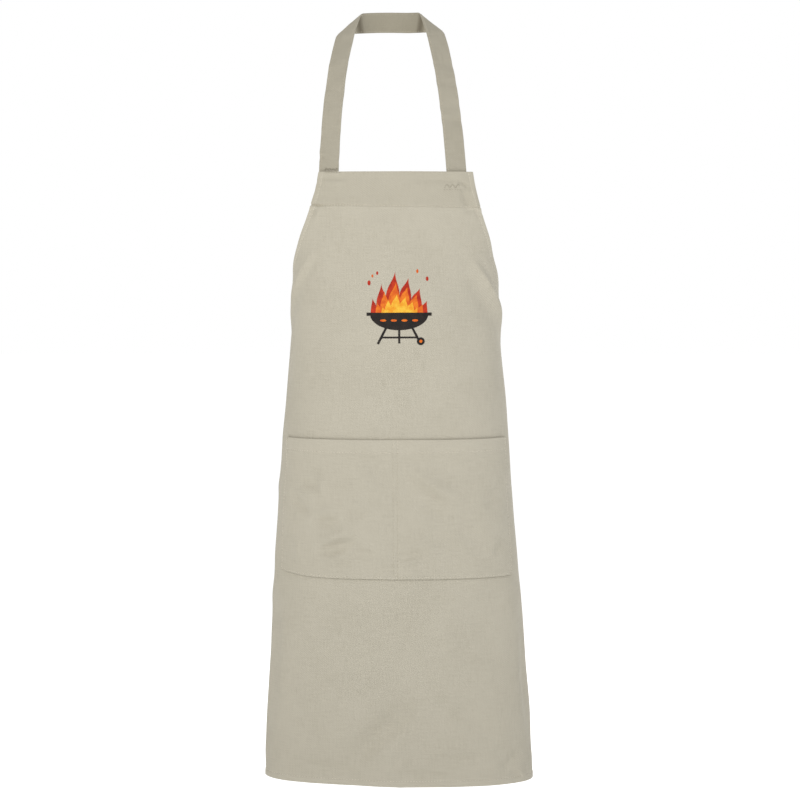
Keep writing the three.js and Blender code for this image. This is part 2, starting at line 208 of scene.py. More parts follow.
# Wrinkles of the pocket, which is cut fuller than the cloth behind it
POCKET_CREASES = table(
    FOLD_COLUMNS,
    (-118, -782, -54, -760, -4.5, 7.4),
    (-112, -764, -62, -747, 3.4, 8),
    (-104, -793, -62, -780, 2.0, 6),
    (-124, -738, -76, -733, -3.2, 7.5),
    (-120, -722, -80, -718, 2.0, 8),
    (-162, -692, -126, -728, -3.8, 7.5),
    (-142, -684, -112, -712, 2.2, 8),
    (-142, -678, -106, -684, -2.0, 6.4),
    (-112, -658, -104, -700, 1.9, 6),
    (-127, -652, -100, -668, -1.9, 6.4),
    (-76, -778, -30, -781, -3.2, 7),
    (-20, -752, 6, -734, -2.6, 5),
    (0, -787, 34, -778, -2.6, 4.4),
    (2, -795, 38, -787, 2.2, 4.6),
    (-44, -636, 30, -702, -4.4, 15),
    (16, -690, 84, -724, -3.6, 14),
    (6, -650, 100, -710, 3.0, 10),
    (128, -712, 178, -680, -3.4, 12),
    (144, -784, 182, -754, -3.0, 6),
    (8, -757, 66, -780, 2.6, 10),
    (-152, -756, -140, -804, 1.8, 7),
    (-62, -698, -38, -726, 2.0, 10),
    (-76, -716, -20, -750, -1.8, 13),
    (84, -740, 140, -772, -2.0, 14),
)

# Long soft waves that a hung cloth keeps: wavelengths across and down, height and phase
WAVES = table(
    "wide tall height phase",
    (173, 420, 0.75, 0.4),
    (-118, 260, 0.55, 2.1),
    (79, -190, 0.3, 4.0),
    (-53, -131, 0.18, 1.2),
    (41, 97, 0.12, 5.2),
)

# Legs of the neck strap. anchor is the sewn end's distance from the middle, and overlap the part behind the
# bib. turn is that end's slant, lean how far the leg goes back, twist its turn about itself, fold the slant
# of the shoulder fold, and roll how far the band goes round it, in degrees.
LEGS = table(
    "side anchor turn lean length twist fold roll overlap",
    (-1, 99.6, 1.35, 39.0, 235.6, 9.3, 35.9, 101, 11),
    (1, 90, 3.8, 41.3, 241.6, 12.2, 37.4, 106.5, 25),
)

SECTION_STEPS = 160
PROBE = 2.0
WAVE_FADE = 110.0
SOFT_END = 60.0

# Seams and stitches
FACING_SEAM = 49.7
FACING_TILT = 0.014
FACING_LAP = 3.0
SIDE_STITCH = 6.8
BOTTOM_STITCH = 8.6
SEAM_DEPTH = 0.5
SEAM_SPREAD = 0.9
HEM_RISE = 0.35
HEM_FADE = 0.4
FACING_FADE = 0.5
LIP_RISE = 0.45
LIP_PLACE = 2.6
LIP_SPREAD = 1.5
BOTTOM_PULL = 1.8
FACING_PULL = 2.4
FACING_PUCKER = 0.9
# Painted shade: the cloth above the facing's seam, where the facing lies behind the bib's top, is painted a
# shade darker.
BACKED_PAINTED_SHADE = 0.26
BACKED_FADE = 1.2
PUCKER = 0.085
PUCKER_REACH = 5.0
# Ripples by a seam: length, share and phase
RIPPLES = ((2.3, 1.0, 0.0), (3.7, 0.7, 1.0), (6.1, 0.5, 2.0))
# Creases of a band: height, length, slope and share of the band's phase
BAND_RIPPLES = ((0.3, 13.0, 15.0, 1.0), (0.2, 7.3, -7.0, 2.3), (0.07, 3.3, 5.0, 1.7))
LEFT_HEM_RISE = 2.2
LEFT_HEM_REACH = 60.0
POCKET_STITCH = 2.6
POCKET_HEM_STITCH = 18.0
POCKET_EDGE_RISE = 0.5
POCKET_EDGE_REACH = 6.0
POCKET_HEM_PULL = 1.4
POCKET_HEM_PUCKER = 1.3
POCKET_CORNER_REACH = 40.0
DIVIDER_FADE = 2.0
DIVIDER_BELOW = 0.25
POCKET_FULLNESS = 6.0
POCKET_HEM_CURVE = 1.6
DIMPLES = 150
DIMPLE_RISE = 0.75
SKIRT_DEPTH = 1.7
POCKET_DEPTH = 1.6
DIMPLE_SIZE = (13.0, 30.0)
DIVIDER = (-4.0, 2.0)
# Real stitches are 3 mm long and 0.5 mm thick, finer than a pixel. They are drawn a little coarser.
STITCH_PITCH = 4.3
STITCH_FILL = 0.6
THREAD = 0.95
THREAD_LIFT = 0.1

# Steps of the meshes, and their lines by seams, as distances from the edge or, for the pocket's divider,
# from the middle
HEM_LINES = np.array([12.0, 11.0, 9.8, 8.6, 7.4, 5.0, 2.5, 0.0])
SIDE_LINES = np.array([0.0, 1.5, 3.6, 5.8, 6.8, 7.8])
POCKET_TOP_LINES = np.array([0, 1.2, 3, 6, 9, 12, 14.5, 15.8, 16.7, 17.5, 18.3, 19.1, 20, 21])
POCKET_LOW_LINES = np.array([7.0, 5.4, 3.8, POCKET_STITCH, 1.4, 0.0])
POCKET_SIDE_LINES = np.array([0.0, 1.4, POCKET_STITCH, 3.8, 5.6, 7.5])
POCKET_MIDDLE_LINES = np.array([-8.0, -5.4, -4.0, -2.6, -1.0, 0.6, 2.0, 3.4, 6.0])
POCKET_HALF_COLUMNS = 58
FACING_HALF_COLUMNS = 40
LINE_STEP = 1.6
BODY_STEP = 3.7
BODY_HALF_COLUMNS = 68
KNOT_STEPS = 56
KNOT_SIDES = 36
NEAR_LINES = 0.55
RIM_ROUND = 0.42
BAND_RIM_ROUND = 0.5
RIM_ANGLE = 60
SMOOTH_ANGLE = 70
INK_SMOOTH_ANGLE = 40

# Creases across the neck strap: distance from the left sewn end, or from the right one if it is negative,
# slant, height and spread
STRAP_CREASES = (
    (24, 0.55, -1.8, 4.0),
    (34, 0.5, 1.4, 4.0),
    (70, -0.2, -0.6, 6.0),
    (132, 0.25, -0.7, 7.0),
    (176, -0.35, 0.6, 7.0),
    (-100, 0.1, -1.3, 6.0),
    (-122, -0.1, -1.1, 6.5),
    (-158, 0.05, -1.0, 6.0),
    (-188, 0.1, -0.8, 6.0),
)

# Painted shade of the band by its shoulder folds and round the nape, and its stillness round the nape
NAPE_PAINTED_SHADE = 0.3
NAPE_FADE = 2.0
FOLD_PAST = 25.0
FOLD_SLANT = 0.26
FOLD_PAINTED_SHADE = 7.0
NAPE_STILL = 40.0

# Turns of the knot: piece, the solid it stands for, tilt, growth, phase of its pleats, share of the width
KNOT_TURNS = (
    ("knot_under_turn", "tie_knot", -24, 0.0, 0.4, 1.0),
    ("knot_over_turn", None, 20, 1.3, 2.2, 1.0),
    ("knot_gathered_ends", None, -4, -2.8, 1.1, 0.85),
)
KNOT_WALL = 1.9
KNOT_PLEATS = 5
KNOT_PLEAT = 0.5

# Printed picture
PRINT_ACROSS = 5.7
PRINT_Z = -424.6
RIM_RISE = -9.0
FLAME_HALF = 41.0
INK_THICK = 0.1
INK_STEP = 5.0
TONGUES = table(
    "tip height valley floor",
    (-38, 24, -33, 10),
    (-25, 44, -19, 21),
    (-5, 61, 1, 26),
    (14, 52, 18, 20),
    (30, 37, 33, 9),
    (40, 19, 41, 0),
)

# Scales of the finishes in millimetres
RIB = 2.6
SLUB = 1.7
SLUB_DEPTH = 0.09
CRUMPLE = 26.0
CRUMPLE_DEPTH = 0.5
DYE = 70.0
FIBRE = 2.4
PLY = 0.5
INK_PATCH = 9.0
WAVE_UNIT = 2 * math.pi / 20

# How strongly each unevenness shades the cloth
SHADE_START = -0.53
SLUB_SHADE = 0.8
RIB_SHADE = 0.26
DYE_SHADE = 0.7
FIBRE_SHADE = 0.25
DOUBLE_SHADE = 0.35

# Studio
CAMERA_PLACE = (0.0137, -3.35034, -0.38432)
CAMERA_TILT = 3.091
CAMERA_LENS = 100
FLOOR = -1.5
FLOOR_SIZE = 60
FLOOR_GLOW = 0.66
GLOW_FROM = 0.5
GLOW_TO = 1.75
AMBIENT = 0.42

# Softboxes: place, target, size, power and tint
SOFTBOXES = (
    ("key_softbox", (-1.25, -2.2, 0.8), (0, 0, -0.6), 0.8, 18.8, "#fffdf8"),
    ("fill_softbox", (1.85, -2.0, 1.25), (0, 0, -0.4), 1.3, 15.4, "#fafcff"),
    ("top_softbox", (0.3, -0.9, 1.4), (0, 0, -0.1), 0.8, 1.2, "#fffdf8"),
    ("back_softbox", (0.9, 3.2, 1.3), (0, 0, -0.5), 1.8, 45.0, "#fdfcf8"),
)


def unit(vectors):
    return vectors / np.linalg.norm(vectors, axis=-1, keepdims=True)


def bell(distance, spread):
    """A soft bump over the line where the distance is nought."""
    return np.exp(-((distance / spread) ** 2))


def soft_step(distance, width):
    """Goes softly from 0 to 1 where the distance goes past nought."""
    return 1 / (1 + np.exp(-np.clip(distance / width, -SOFT_END, SOFT_END)))


def paired(across, z):
    """Distances across the cloth and heights as arrays of one shape."""
    return np.broadcast_arrays(np.asarray(across, float), np.asarray(z, float))


def run_along(points):
    """Distance of each point of a line from its start."""
    return np.concatenate([[0], np.cumsum(np.linalg.norm(np.diff(points, axis=0), axis=1))])


def column_at(rows, name, z):
    """Value of one column at heights z, on a smooth curve through the rows."""
    rise, value = rows["z"][::-1], rows[name][::-1]
    slope = np.gradient(value, rise)
    slope[1:-1] = (value[2:] - value[:-2]) / (rise[2:] - rise[:-2])
    z = np.clip(z, rise[0], rise[-1])
    k = np.clip(np.searchsorted(rise, z) - 1, 0, len(rise) - 2)
    run = rise[k + 1] - rise[k]
    q = (z - rise[k]) / run
    low = (2 * q**3 - 3 * q**2 + 1) * value[k] + (q**3 - 2 * q**2 + q) * slope[k] * run
    high = (3 * q**2 - 2 * q**3) * value[k + 1] + (q**3 - q**2) * slope[k + 1] * run
    return low + high


def cut_at(z):
    """Half width of the flat cloth at heights z."""
    return np.where(z <= TIE_HEIGHT, SKIRT_HALF, column_at(ARMHOLE, "cut", z))


def skin_points(across, z):
    """Points of the plain body for flat lists of places."""
    def at(name):
        return column_at(SECTIONS, name, z)

    side = np.where(across < 0, -1.0, 1.0)
    power = 2 / np.where(across < 0, at("left"), at("right"))[:, None]
    half, depth, back = at("half"), at("depth"), at("back")
    angle = np.linspace(0, math.pi / 2, SECTION_STEPS + 1)
    x = half[:, None] * np.sin(angle) ** power
    y = depth[:, None] * (1 - np.clip(np.cos(angle), 0, 1) ** power)
    gone = np.cumsum(np.hypot(np.diff(x, axis=1), np.diff(y, axis=1)), axis=1)
    gone = np.concatenate([np.zeros((len(z), 1)), gone], axis=1)
    wanted = np.abs(across)
    k = np.clip((gone < wanted[:, None]).sum(1), 1, SECTION_STEPS)[:, None]

    def pick(values, step):
        return np.take_along_axis(values, k + step, 1)[:, 0]

    part = np.clip((wanted - pick(gone, -1)) / (pick(gone, 0) - pick(gone, -1)), 0, 1)
    out = pick(x, -1) + (pick(x, 0) - pick(x, -1)) * part
    deep = pick(y, -1) + (pick(y, 0) - pick(y, -1)) * part
    turn = np.maximum(wanted - gone[:, -1], 0) / back
    out = np.where(turn > 0, half - back * (1 - np.cos(turn)), out)
    deep = np.where(turn > 0, depth + back * np.sin(turn), deep)
    return np.stack([at("centre") + side * out, at("front") + deep, z], axis=1)


def skin(across, z):
    """Points of the plain body at distances across the cloth and heights, of any matching shapes."""
    across, z = paired(across, z)
    flat = skin_points(across.ravel(), z.ravel())
    return flat.reshape(across.shape + (3,))


def skin_frame(across, z):
    """Unit vectors across and up the plain body, and out of its front."""
    right = unit(skin(across + PROBE, z) - skin(across - PROBE, z))
    up = unit(skin(across, z + PROBE) - skin(across, z - PROBE))
    return right, up, unit(np.cross(right, up))


def ridges(rows, across, z):
    """Height of a table of straight folds over the plain body."""
    height = np.zeros(np.broadcast(across, z).shape)
    for a0, z0, a1, z1, rise, spread in zip(*rows.values()):
        length = math.hypot(a1 - a0, z1 - z0)
        along = ((across - a0) * (a1 - a0) + (z - z0) * (z1 - z0)) / length**2
        off = ((across - a0) * (z1 - z0) - (z - z0) * (a1 - a0)) / length
        height = height + rise * np.sin(np.pi * np.clip(along, 0, 1)) * bell(off, spread)
    return height


def waves(across, z):
    """The cloth's long soft waves, which die away at the bib's top."""
    height = sum(
        rise * np.sin(2 * math.pi * (across / wide + z / tall) + phase)
        for wide, tall, rise, phase in zip(*WAVES.values())
    )
    return height * np.clip((BIB_TOP - z) / WAVE_FADE, 0, 1)


def dimples(across, z):
    """Random soft dents of worn cloth, which are what gives a plain front its uneven shading."""
    draw = np.random.default_rng(SEED + 1)
    height = np.zeros(np.broadcast(across, z).shape)
    for _ in range(DIMPLES):
        middle, level = draw.uniform(-SKIRT_HALF, SKIRT_HALF), draw.uniform(HEM, BIB_TOP)
        wide, tall = draw.uniform(*DIMPLE_SIZE, 2)
        lean, rise = draw.uniform(-0.6, 0.6), draw.normal(0, DIMPLE_RISE)
        off = (across - middle) / wide + lean * (z - level) / tall
        height = height + rise * bell(off, 1) * bell(z - level, tall)
    return height


def facing_line(across):
    """Height of the seam that holds the facing, which climbs a little to the left."""
    return BIB_TOP - FACING_SEAM - FACING_TILT * across


def groove(distance):
    """A stitched line pulls the cloth in."""
    return -SEAM_DEPTH * bell(distance, SEAM_SPREAD)


def pucker(along, distance):
    """Short ripples that a stitched line leaves beside itself."""
    ripple = sum(share * np.sin(along / length + phase) for length, share, phase in RIPPLES)
    return PUCKER * ripple * bell(distance, PUCKER_REACH)


def seam_relief(across, z):
    """Relief of the hems and of the facing's seam on the front of the body."""
    edge = cut_at(z) - np.abs(across)
    low = z - HEM
    seam = z - facing_line(across)
    height = np.zeros(np.broadcast(across, z).shape)
    bands = ((edge, SIDE_STITCH, z, 1.0), (low, BOTTOM_STITCH, across, BOTTOM_PULL))
    for distance, stitch, along, pull in bands:
        from_stitch = distance - stitch
        double = HEM_RISE * soft_step(-from_stitch, HEM_FADE)
        height = height + pull * (double + groove(from_stitch) + pucker(along, from_stitch))
    double = HEM_RISE * soft_step(seam, FACING_FADE)
    lip = LIP_RISE * bell(seam + LIP_PLACE, LIP_SPREAD)
    return height + double + lip + FACING_PULL * groove(seam) + FACING_PUCKER * pucker(across, seam)


def body_relief(across, z):
    folds = ridges(FOLDS, across, z) + ridges(BIB_CREASES, across, z)
    folds = folds + SKIRT_DEPTH * ridges(SKIRT_FOLDS, across, z)
    return folds + dimples(across, z) + waves(across, z) + seam_relief(across, z)


def hem_rise(across, z):
    """How far the left half of the hem is drawn up."""
    left = np.clip(-across / SKIRT_HALF, 0, 1)
    return LEFT_HEM_RISE * np.sin(math.pi * left ** 0.7) * np.exp((HEM - z) / LEFT_HEM_REACH)


def body_place(across, z, lift=0.0):
    """Points of the body's front face with its relief, and their outward directions."""
    across, z = paired(across, z)
    height = np.asarray(body_relief(across, z) + lift)
    z = z + hem_rise(across, z)
    out = skin_frame(across, z)[2]
    return skin(across, z) + out * height[..., None], out


# Meshes

def activate(obj):
    bpy.ops.object.select_all(action="DESELECT")
    obj.select_set(True)
    bpy.context.view_layer.objects.active = obj


def apply_modifier(obj, kind, **settings):
    activate(obj)
    modifier = obj.modifiers.new(kind.lower(), kind)
    for key, value in settings.items():
        setattr(modifier, key, value)
    bpy.ops.object.modifier_apply(modifier=modifier.name)


def add_piece(name, primitive, **settings):
    """Adds a primitive while nothing else is selected."""
    bpy.ops.object.select_all(action="DESELECT")
    primitive(**settings)
    obj = bpy.context.object
    obj.name = obj.data.name = name
    return obj


def edit_all(obj, operator, **settings):
    """Runs one edit operator on a whole mesh."""
    activate(obj)
    bpy.ops.object.mode_set(mode="EDIT")
    bpy.ops.mesh.select_all(action="SELECT")
    operator(**settings)
    bpy.ops.object.mode_set(mode="OBJECT")


def vertex_array(mesh):
    values = np.empty(len(mesh.vertices) * 3)
    mesh.vertices.foreach_get("co", values)
    return values.reshape(-1, 3)


def move_vertices(mesh, points):
    mesh.vertices.foreach_set("co", (points * MM).ravel())
    mesh.update()


def lay_flat(mesh, layer, flat):
    """Fills a UV map with each vertex's place on the flat cut, in metres."""
    corner = np.empty(len(mesh.loops), int)
    mesh.loops.foreach_get("vertex_index", corner)
    layer.name = "flat_cut"
    layer.data.foreach_set("uv", (flat * MM)[corner].ravel())


def cloth_sheet(name, points, flat, thick, finishes, bevel=RIM_ROUND, deep=0.0):
    """A sheet of cloth from a grid primitive.

    Each vertex goes to its place in points, and the grid's UV map holds the flat cut. thick is the cloth's
    thickness at each vertex, behind the points. finishes are the right side's and the reverse's. deep is
    the painted shade at each vertex: how strongly a darker tint is painted by the shoulder folds, round the
    nape and on the bib's top before the facing.
    """
    rows, columns = points.shape[:2]
    obj = add_piece(
        name, bpy.ops.mesh.primitive_grid_add,
        x_subdivisions=columns - 1, y_subdivisions=rows - 1, size=1, calc_uvs=True,
    )
    mesh = obj.data
    start = vertex_array(mesh)
    column = np.rint((start[:, 0] + 0.5) * (columns - 1)).astype(int)
    row = np.rint((start[:, 1] + 0.5) * (rows - 1)).astype(int)
    move_vertices(mesh, points[row, column])
    lay_flat(mesh, mesh.uv_layers[0], flat[row, column])
    for finish in finishes:
        mesh.materials.append(finish)

    thick = np.broadcast_to(thick, (rows, columns))[row, column]
    deep = np.broadcast_to(deep, (rows, columns))[row, column]
    for attribute, values in (("double_cloth", thick > BAND_CLOTH), ("painted_shade", deep)):
        made = mesh.attributes.new(attribute, "FLOAT", "POINT")
        made.data.foreach_set("value", values.astype(float))
    group = obj.vertex_groups.new(name="thickness")
    for value in np.unique(thick):
        group.add(np.flatnonzero(thick == value).tolist(), float(value / thick.max()), "REPLACE")
    apply_modifier(
        obj, "SOLIDIFY", thickness=float(thick.max()) * MM, offset=-1, vertex_group=group.name,
        use_even_offset=False, use_quality_normals=True, material_offset=1,
    )
    apply_modifier(
        obj, "BEVEL", width=bevel * MM, segments=2, limit_method="ANGLE",
        angle_limit=math.radians(RIM_ANGLE),
    )
    bpy.ops.object.shade_smooth_by_angle(angle=math.radians(SMOOTH_ANGLE))
    return obj


def spaced(start, end, step):
    """Values from start to end in even steps of about the given size."""
    return np.linspace(start, end, max(round(abs(end - start) / step), 1) + 1)


def merge_lines(*groups):
    """Grid lines in falling order, without near doubles."""
    lines = np.sort(np.concatenate([np.atleast_1d(g) for g in groups]))[::-1]
    keep = np.concatenate([[True], np.diff(lines) < -NEAR_LINES])
    return lines[keep]


def dress(obj, node_name):
    """Puts a piece on the apron in the place of its solid."""
    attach(obj, "root")
    if node_name:
        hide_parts(node_name)


# Stitches

def path(corners):
    """A broken line on the flat cloth as close places."""
    corners = np.array(corners, float)
    gone = run_along(corners)
    at = spaced(0, gone[-1], LINE_STEP)
    return np.stack([np.interp(at, gone, corners[:, k]) for k in range(2)], axis=1)


def row_of_stitches(points, outs, pitch=STITCH_PITCH):
    """Middle, direction, outward direction and length of each stitch along a line in space."""
    gone = run_along(points)
    count = max(int(gone[-1] / pitch), 1)
    at = (np.arange(count) + 0.5) / count * gone[-1] + rng.normal(0, 0.06 * pitch, count)

    def along(values, places):
        return np.stack([np.interp(places, gone, values[:, k]) for k in range(3)], axis=1)

    ahead = along(points, at + pitch / 4) - along(points, at - pitch / 4)
    length = pitch * STITCH_FILL * rng.normal(1, 0.05, count)
    return along(points, at), unit(ahead), unit(along(outs, at)), length


def zigzag_stitches(points, outs):
    """One stitch on each straight stretch of a zigzag."""
    ahead = np.diff(points, axis=0)
    return (points[1:] + points[:-1]) / 2, unit(ahead), outs[1:], np.linalg.norm(ahead, axis=1)


def both_sides(points, outs, thick):
    """The same line on the front and on the back of a sheet."""
    return [(points, outs), (points - outs * thick, -outs)]


def thread_piece(name, groups, finish, width=THREAD):
    """All stitches of one seam group as one mesh of small drawn-in beads of thread."""
    obj = add_piece("bead", bpy.ops.mesh.primitive_uv_sphere_add, segments=6, ring_count=4, radius=0.5)
    bead = vertex_array(obj.data)
    faces = [list(face.vertices) for face in obj.data.polygons]
    middle, ahead, out, length = (np.concatenate(parts) for parts in zip(*groups))
    side = unit(np.cross(ahead, out))
    out = unit(np.cross(side, ahead))
    raised = middle + out * THREAD_LIFT
    vertices = (
        raised[:, None]
        + bead[None, :, 2:3] * (length[:, None, None] * ahead[:, None])
        + bead[None, :, 0:1] * (width * side[:, None])
        + bead[None, :, 1:2] * (width * out[:, None])
    )
    count = len(middle)
    all_faces = [[k * len(bead) + i for i in face] for k in range(count) for face in faces]
    mesh = bpy.data.meshes.new(name)
    mesh.from_pydata((vertices.reshape(-1, 3) * MM).tolist(), [], all_faces)
    obj.data = mesh
    obj.name = name
    mesh.materials.append(finish)
    edit_all(obj, bpy.ops.mesh.normals_make_consistent, inside=False)
    bpy.ops.object.shade_smooth()
    dress(obj, None)


# Body

def body_sheet():
    seam = facing_line(0)
    z = merge_lines(
        spaced(BIB_TOP, BIB_TOP - 6, 1.5),
        spaced(BIB_TOP - 6, seam + 6, 2.6),
        spaced(seam + 6, seam - 6, 1.0),
        spaced(seam - 6, HEM + 14, BODY_STEP),
        HEM + HEM_LINES,
    )[::-1]
    share = spaced(-1, 1, 1 / BODY_HALF_COLUMNS)
    cut = cut_at(z)[:, None]
    inner = share[None, :] * (cut - SIDE_HEM - HEM_STEP)
    across = np.concatenate([-cut + SIDE_LINES, inner, cut - SIDE_LINES[::-1]], axis=1)
    z = np.broadcast_to(z[:, None], across.shape)
    points, _ = body_place(across, z)
    on_hem = (cut - np.abs(across) < SIDE_HEM + HEM_STEP / 2) | (z < HEM + BOTTOM_HEM + HEM_STEP / 2)
    thick = np.where(on_hem, HEM_CLOTH, CLOTH)
    # Painted shade: the bib's top above the facing's seam is tinted darker.
    painted_backed_shade = BACKED_PAINTED_SHADE * soft_step(z - facing_line(across), BACKED_FADE)
    flat = np.stack([across, z], axis=-1)
    obj = cloth_sheet("body_cloth", points, flat, thick, (TWILL, REVERSE), deep=painted_backed_shade)
    dress(obj, "apron_body")
    body_area()


def body_area():
    """Flat area of the body's cut in square metres."""
    mean_width = 2 * cut_at(spaced(HEM, BIB_TOP, 1)).mean()
    return float(mean_width * (BIB_TOP - HEM)) * MM**2


def facing_sheet():
    z = spaced(BIB_TOP - FACING_DEPTH - FACING_LAP, BIB_TOP - HEM_STEP, 3)
    share = spaced(-1, 1, 1 / FACING_HALF_COLUMNS)
    across = share[None, :] * (cut_at(z)[:, None] - SIDE_HEM - HEM_STEP)
    z = np.broadcast_to(z[:, None], across.shape)
    points, _ = body_place(across, z, -CLOTH - SEAM_GAP)
    obj = cloth_sheet("bib_facing_cloth", points, np.stack([across, z], axis=-1), CLOTH, (TWILL, TWILL))
    dress(obj, "bib_facing")
    2 * (cut_at(BIB_TOP - FACING_DEPTH) - SIDE_HEM) * MM


def body_thread():
    """Topstitching of the hems, the armholes and the facing."""
    z = spaced(HEM + 3, BIB_TOP - 2, LINE_STEP)
    edge = cut_at(z) - SIDE_STITCH
    lines = [np.stack([side * edge, z], axis=1) for side in (-1, 1)]
    reach = SKIRT_HALF - SIDE_STITCH / 2
    lines.append(path([(-reach, HEM + BOTTOM_STITCH), (reach, HEM + BOTTOM_STITCH)]))
    groups = []
    for line in lines:
        for points, outs in both_sides(*body_place(line[:, 0], line[:, 1]), HEM_CLOTH):
            groups.append(row_of_stitches(points, outs))
    across = spaced(-117, 117, LINE_STEP)
    points, outs = body_place(across, facing_line(across))
    groups.append(row_of_stitches(points, outs))
    back = points - outs * (2 * CLOTH + SEAM_GAP)
    groups.append(row_of_stitches(back, -outs))
    for side in (-1, 1):
        groups.append(tack(side * (SKIRT_HALF - 14), KNOT_Z, 4, TIE_WIDTH - 6, 8))
    thread_piece("body_seam_thread", groups, THREAD_FINISH)


def tack(across, z, wide, tall, turns):
    """An upright bar of close zigzag stitches."""
    step = np.arange(turns * 2 + 1)
    over, up = np.where(step % 2, 0.5, -0.5), step / (turns * 2) - 0.5
    return zigzag_stitches(*body_place(across + over * wide, z + up * tall))


def strap_tacks():
    """Stitches that hold the strap's ends: dotted rows, and loops in thread painted dark, painted shade
    where they sink into the cloth.
    """
    on_strap = -(2 * CLOTH + SEAM_GAP + STRAP_BEHIND_BIB)

    def zigzag(left, right, low, high, turns, lift=0.0):
        across = np.linspace(left, right, 2 * turns + 1)
        z = np.where(np.arange(2 * turns + 1) % 2, high, low) + rng.normal(0, 0.35, 2 * turns + 1)
        return zigzag_stitches(*body_place(across, z, lift))

    def dotted(left, right, z, lift=0.0):
        across = spaced(left, right, 1.5)
        return row_of_stitches(*body_place(across, z + 0 * across, lift), pitch=3.7)

    # Painted shade: these loops take a darker thread that stands in for the shade where they sink in.
    painted_dark = [
        zigzag(-106, -84, -225.6, -221.6, 4, on_strap), dotted(-104, -80, -228.6),
        zigzag(71, 96, -251.4, -245.2, 3), dotted(69, 98, -253.4),
    ]
    light = [
        dotted(-107, -83, -231.4), dotted(70, 97, -248.6), zigzag(-103, -86, -226.4, -223.6, 5, on_strap),
    ]
    thread_piece("strap_tack_thread", light, THREAD_FINISH, THREAD * 0.8)
    thread_piece("strap_tack_shaded_loops", painted_dark, TACK_SHADE_FINISH, THREAD * 0.8)


# Pocket

def pocket_half(z):
    down = (POCKET_TOP - z) / (POCKET_TOP - POCKET_BOTTOM)
    return POCKET_HALF_TOP + (POCKET_HALF_BOTTOM - POCKET_HALF_TOP) * down


def pocket_lift(across, z):
    """How far the pocket stands off the body: two full compartments that gape at their mouths."""
    down = np.clip((POCKET_TOP - z) / (POCKET_TOP - POCKET_BOTTOM), 0, 1)
    half = pocket_half(z)
    place = np.clip(np.abs(across) / half, 0, 1)
    swell = np.sin(np.pi * place) ** POCKET_SWELL_POWER
    gape = POCKET_GAPE * swell * (1 - down) ** POCKET_TAPER_POWER
    fullness = POCKET_FULLNESS * np.sin(np.pi * place) ** 0.8 * np.sin(np.pi * down).clip(0) ** 0.7
    wrinkles = POCKET_DEPTH * ridges(POCKET_CREASES, across, z) * np.clip(down * 5, 0, 1)
    height = gape + fullness + wrinkles
    return SEAM_GAP + np.where(height > 1, height, np.exp(np.minimum(height, 1) - 1))


def pocket_hem_line(across):
    """Depth of the hem's stitching below the pocket's top edge, which is a little less at the sides."""
    return POCKET_HEM_STITCH + POCKET_HEM_CURVE * (0.5 - (across / POCKET_HALF_TOP) ** 2)


def pocket_seams(across, z):
    """Turned edges, hem and divider on the pocket's front."""
    edge = pocket_half(z) - np.abs(across)
    low = z - POCKET_BOTTOM
    turned_in = bell(np.minimum(edge, low).clip(0), POCKET_EDGE_REACH)
    hem = POCKET_TOP - z - pocket_hem_line(across)
    height = POCKET_EDGE_RISE * turned_in
    height = height + groove(edge - POCKET_STITCH) + groove(low - POCKET_STITCH)
    height = height + POCKET_HEM_PULL * groove(hem) + POCKET_HEM_PUCKER * pucker(across, hem)
    height = height + pucker(across, low - POCKET_STITCH) + pucker(z, edge - POCKET_STITCH)
    above = soft_step(-hem, DIVIDER_FADE)
    for place in DIVIDER:
        height = height + (DIVIDER_BELOW + (1 - DIVIDER_BELOW) * above) * groove(across - place)
    return height + 0.5 * pucker(z, across)


def pocket_rise(across, z):
    """How far the left end of the pocket's lower edge curves up."""
    near = np.clip((z - POCKET_BOTTOM) / POCKET_CORNER_REACH, 0, 1)
    return POCKET_CORNER_RISE * np.clip(-across / pocket_half(z), 0, 1) ** 4 * (1 - near)


def pocket_thick(z):
    return np.where(z > POCKET_TOP - POCKET_HEM - HEM_STEP / 2, HEM_CLOTH, CLOTH)


def pocket_place(across, z):
    """Points of the pocket's front face and their outward directions."""
    double = np.clip((z - (POCKET_TOP - POCKET_HEM - 12)) / 10, 0, 1)
    lift = pocket_lift(across, z) + CLOTH + (HEM_CLOTH - CLOTH) * double + pocket_seams(across, z)
    return body_place(across, z + pocket_rise(across, z), lift)


def pocket_sheet():
    z = merge_lines(
        POCKET_TOP - POCKET_TOP_LINES,
        spaced(POCKET_TOP - POCKET_TOP_LINES[-1], POCKET_BOTTOM + POCKET_LOW_LINES[0], 2.6),
        POCKET_BOTTOM + POCKET_LOW_LINES,
    )[::-1]
    half = pocket_half(z)[:, None]
    inset = POCKET_SIDE_LINES[-1]
    share = spaced(0, 1, 1 / POCKET_HALF_COLUMNS)[1:-1]
    left = -half + inset + share[None, :] * (half - inset + POCKET_MIDDLE_LINES[0])
    right = POCKET_MIDDLE_LINES[-1] + share[None, :] * (half - inset - POCKET_MIDDLE_LINES[-1])
    middle = np.broadcast_to(POCKET_MIDDLE_LINES, (len(z), len(POCKET_MIDDLE_LINES)))
    across = np.concatenate(
        [-half + POCKET_SIDE_LINES, left, middle, right, half - POCKET_SIDE_LINES[::-1]], axis=1
    )
    z = np.broadcast_to(z[:, None], across.shape)
    points, _ = pocket_place(across, z)
    flat = np.stack([across, z], axis=-1)
    obj = cloth_sheet("pocket_cloth", points, flat, pocket_thick(z), (TWILL, REVERSE))
    dress(obj, "pocket")


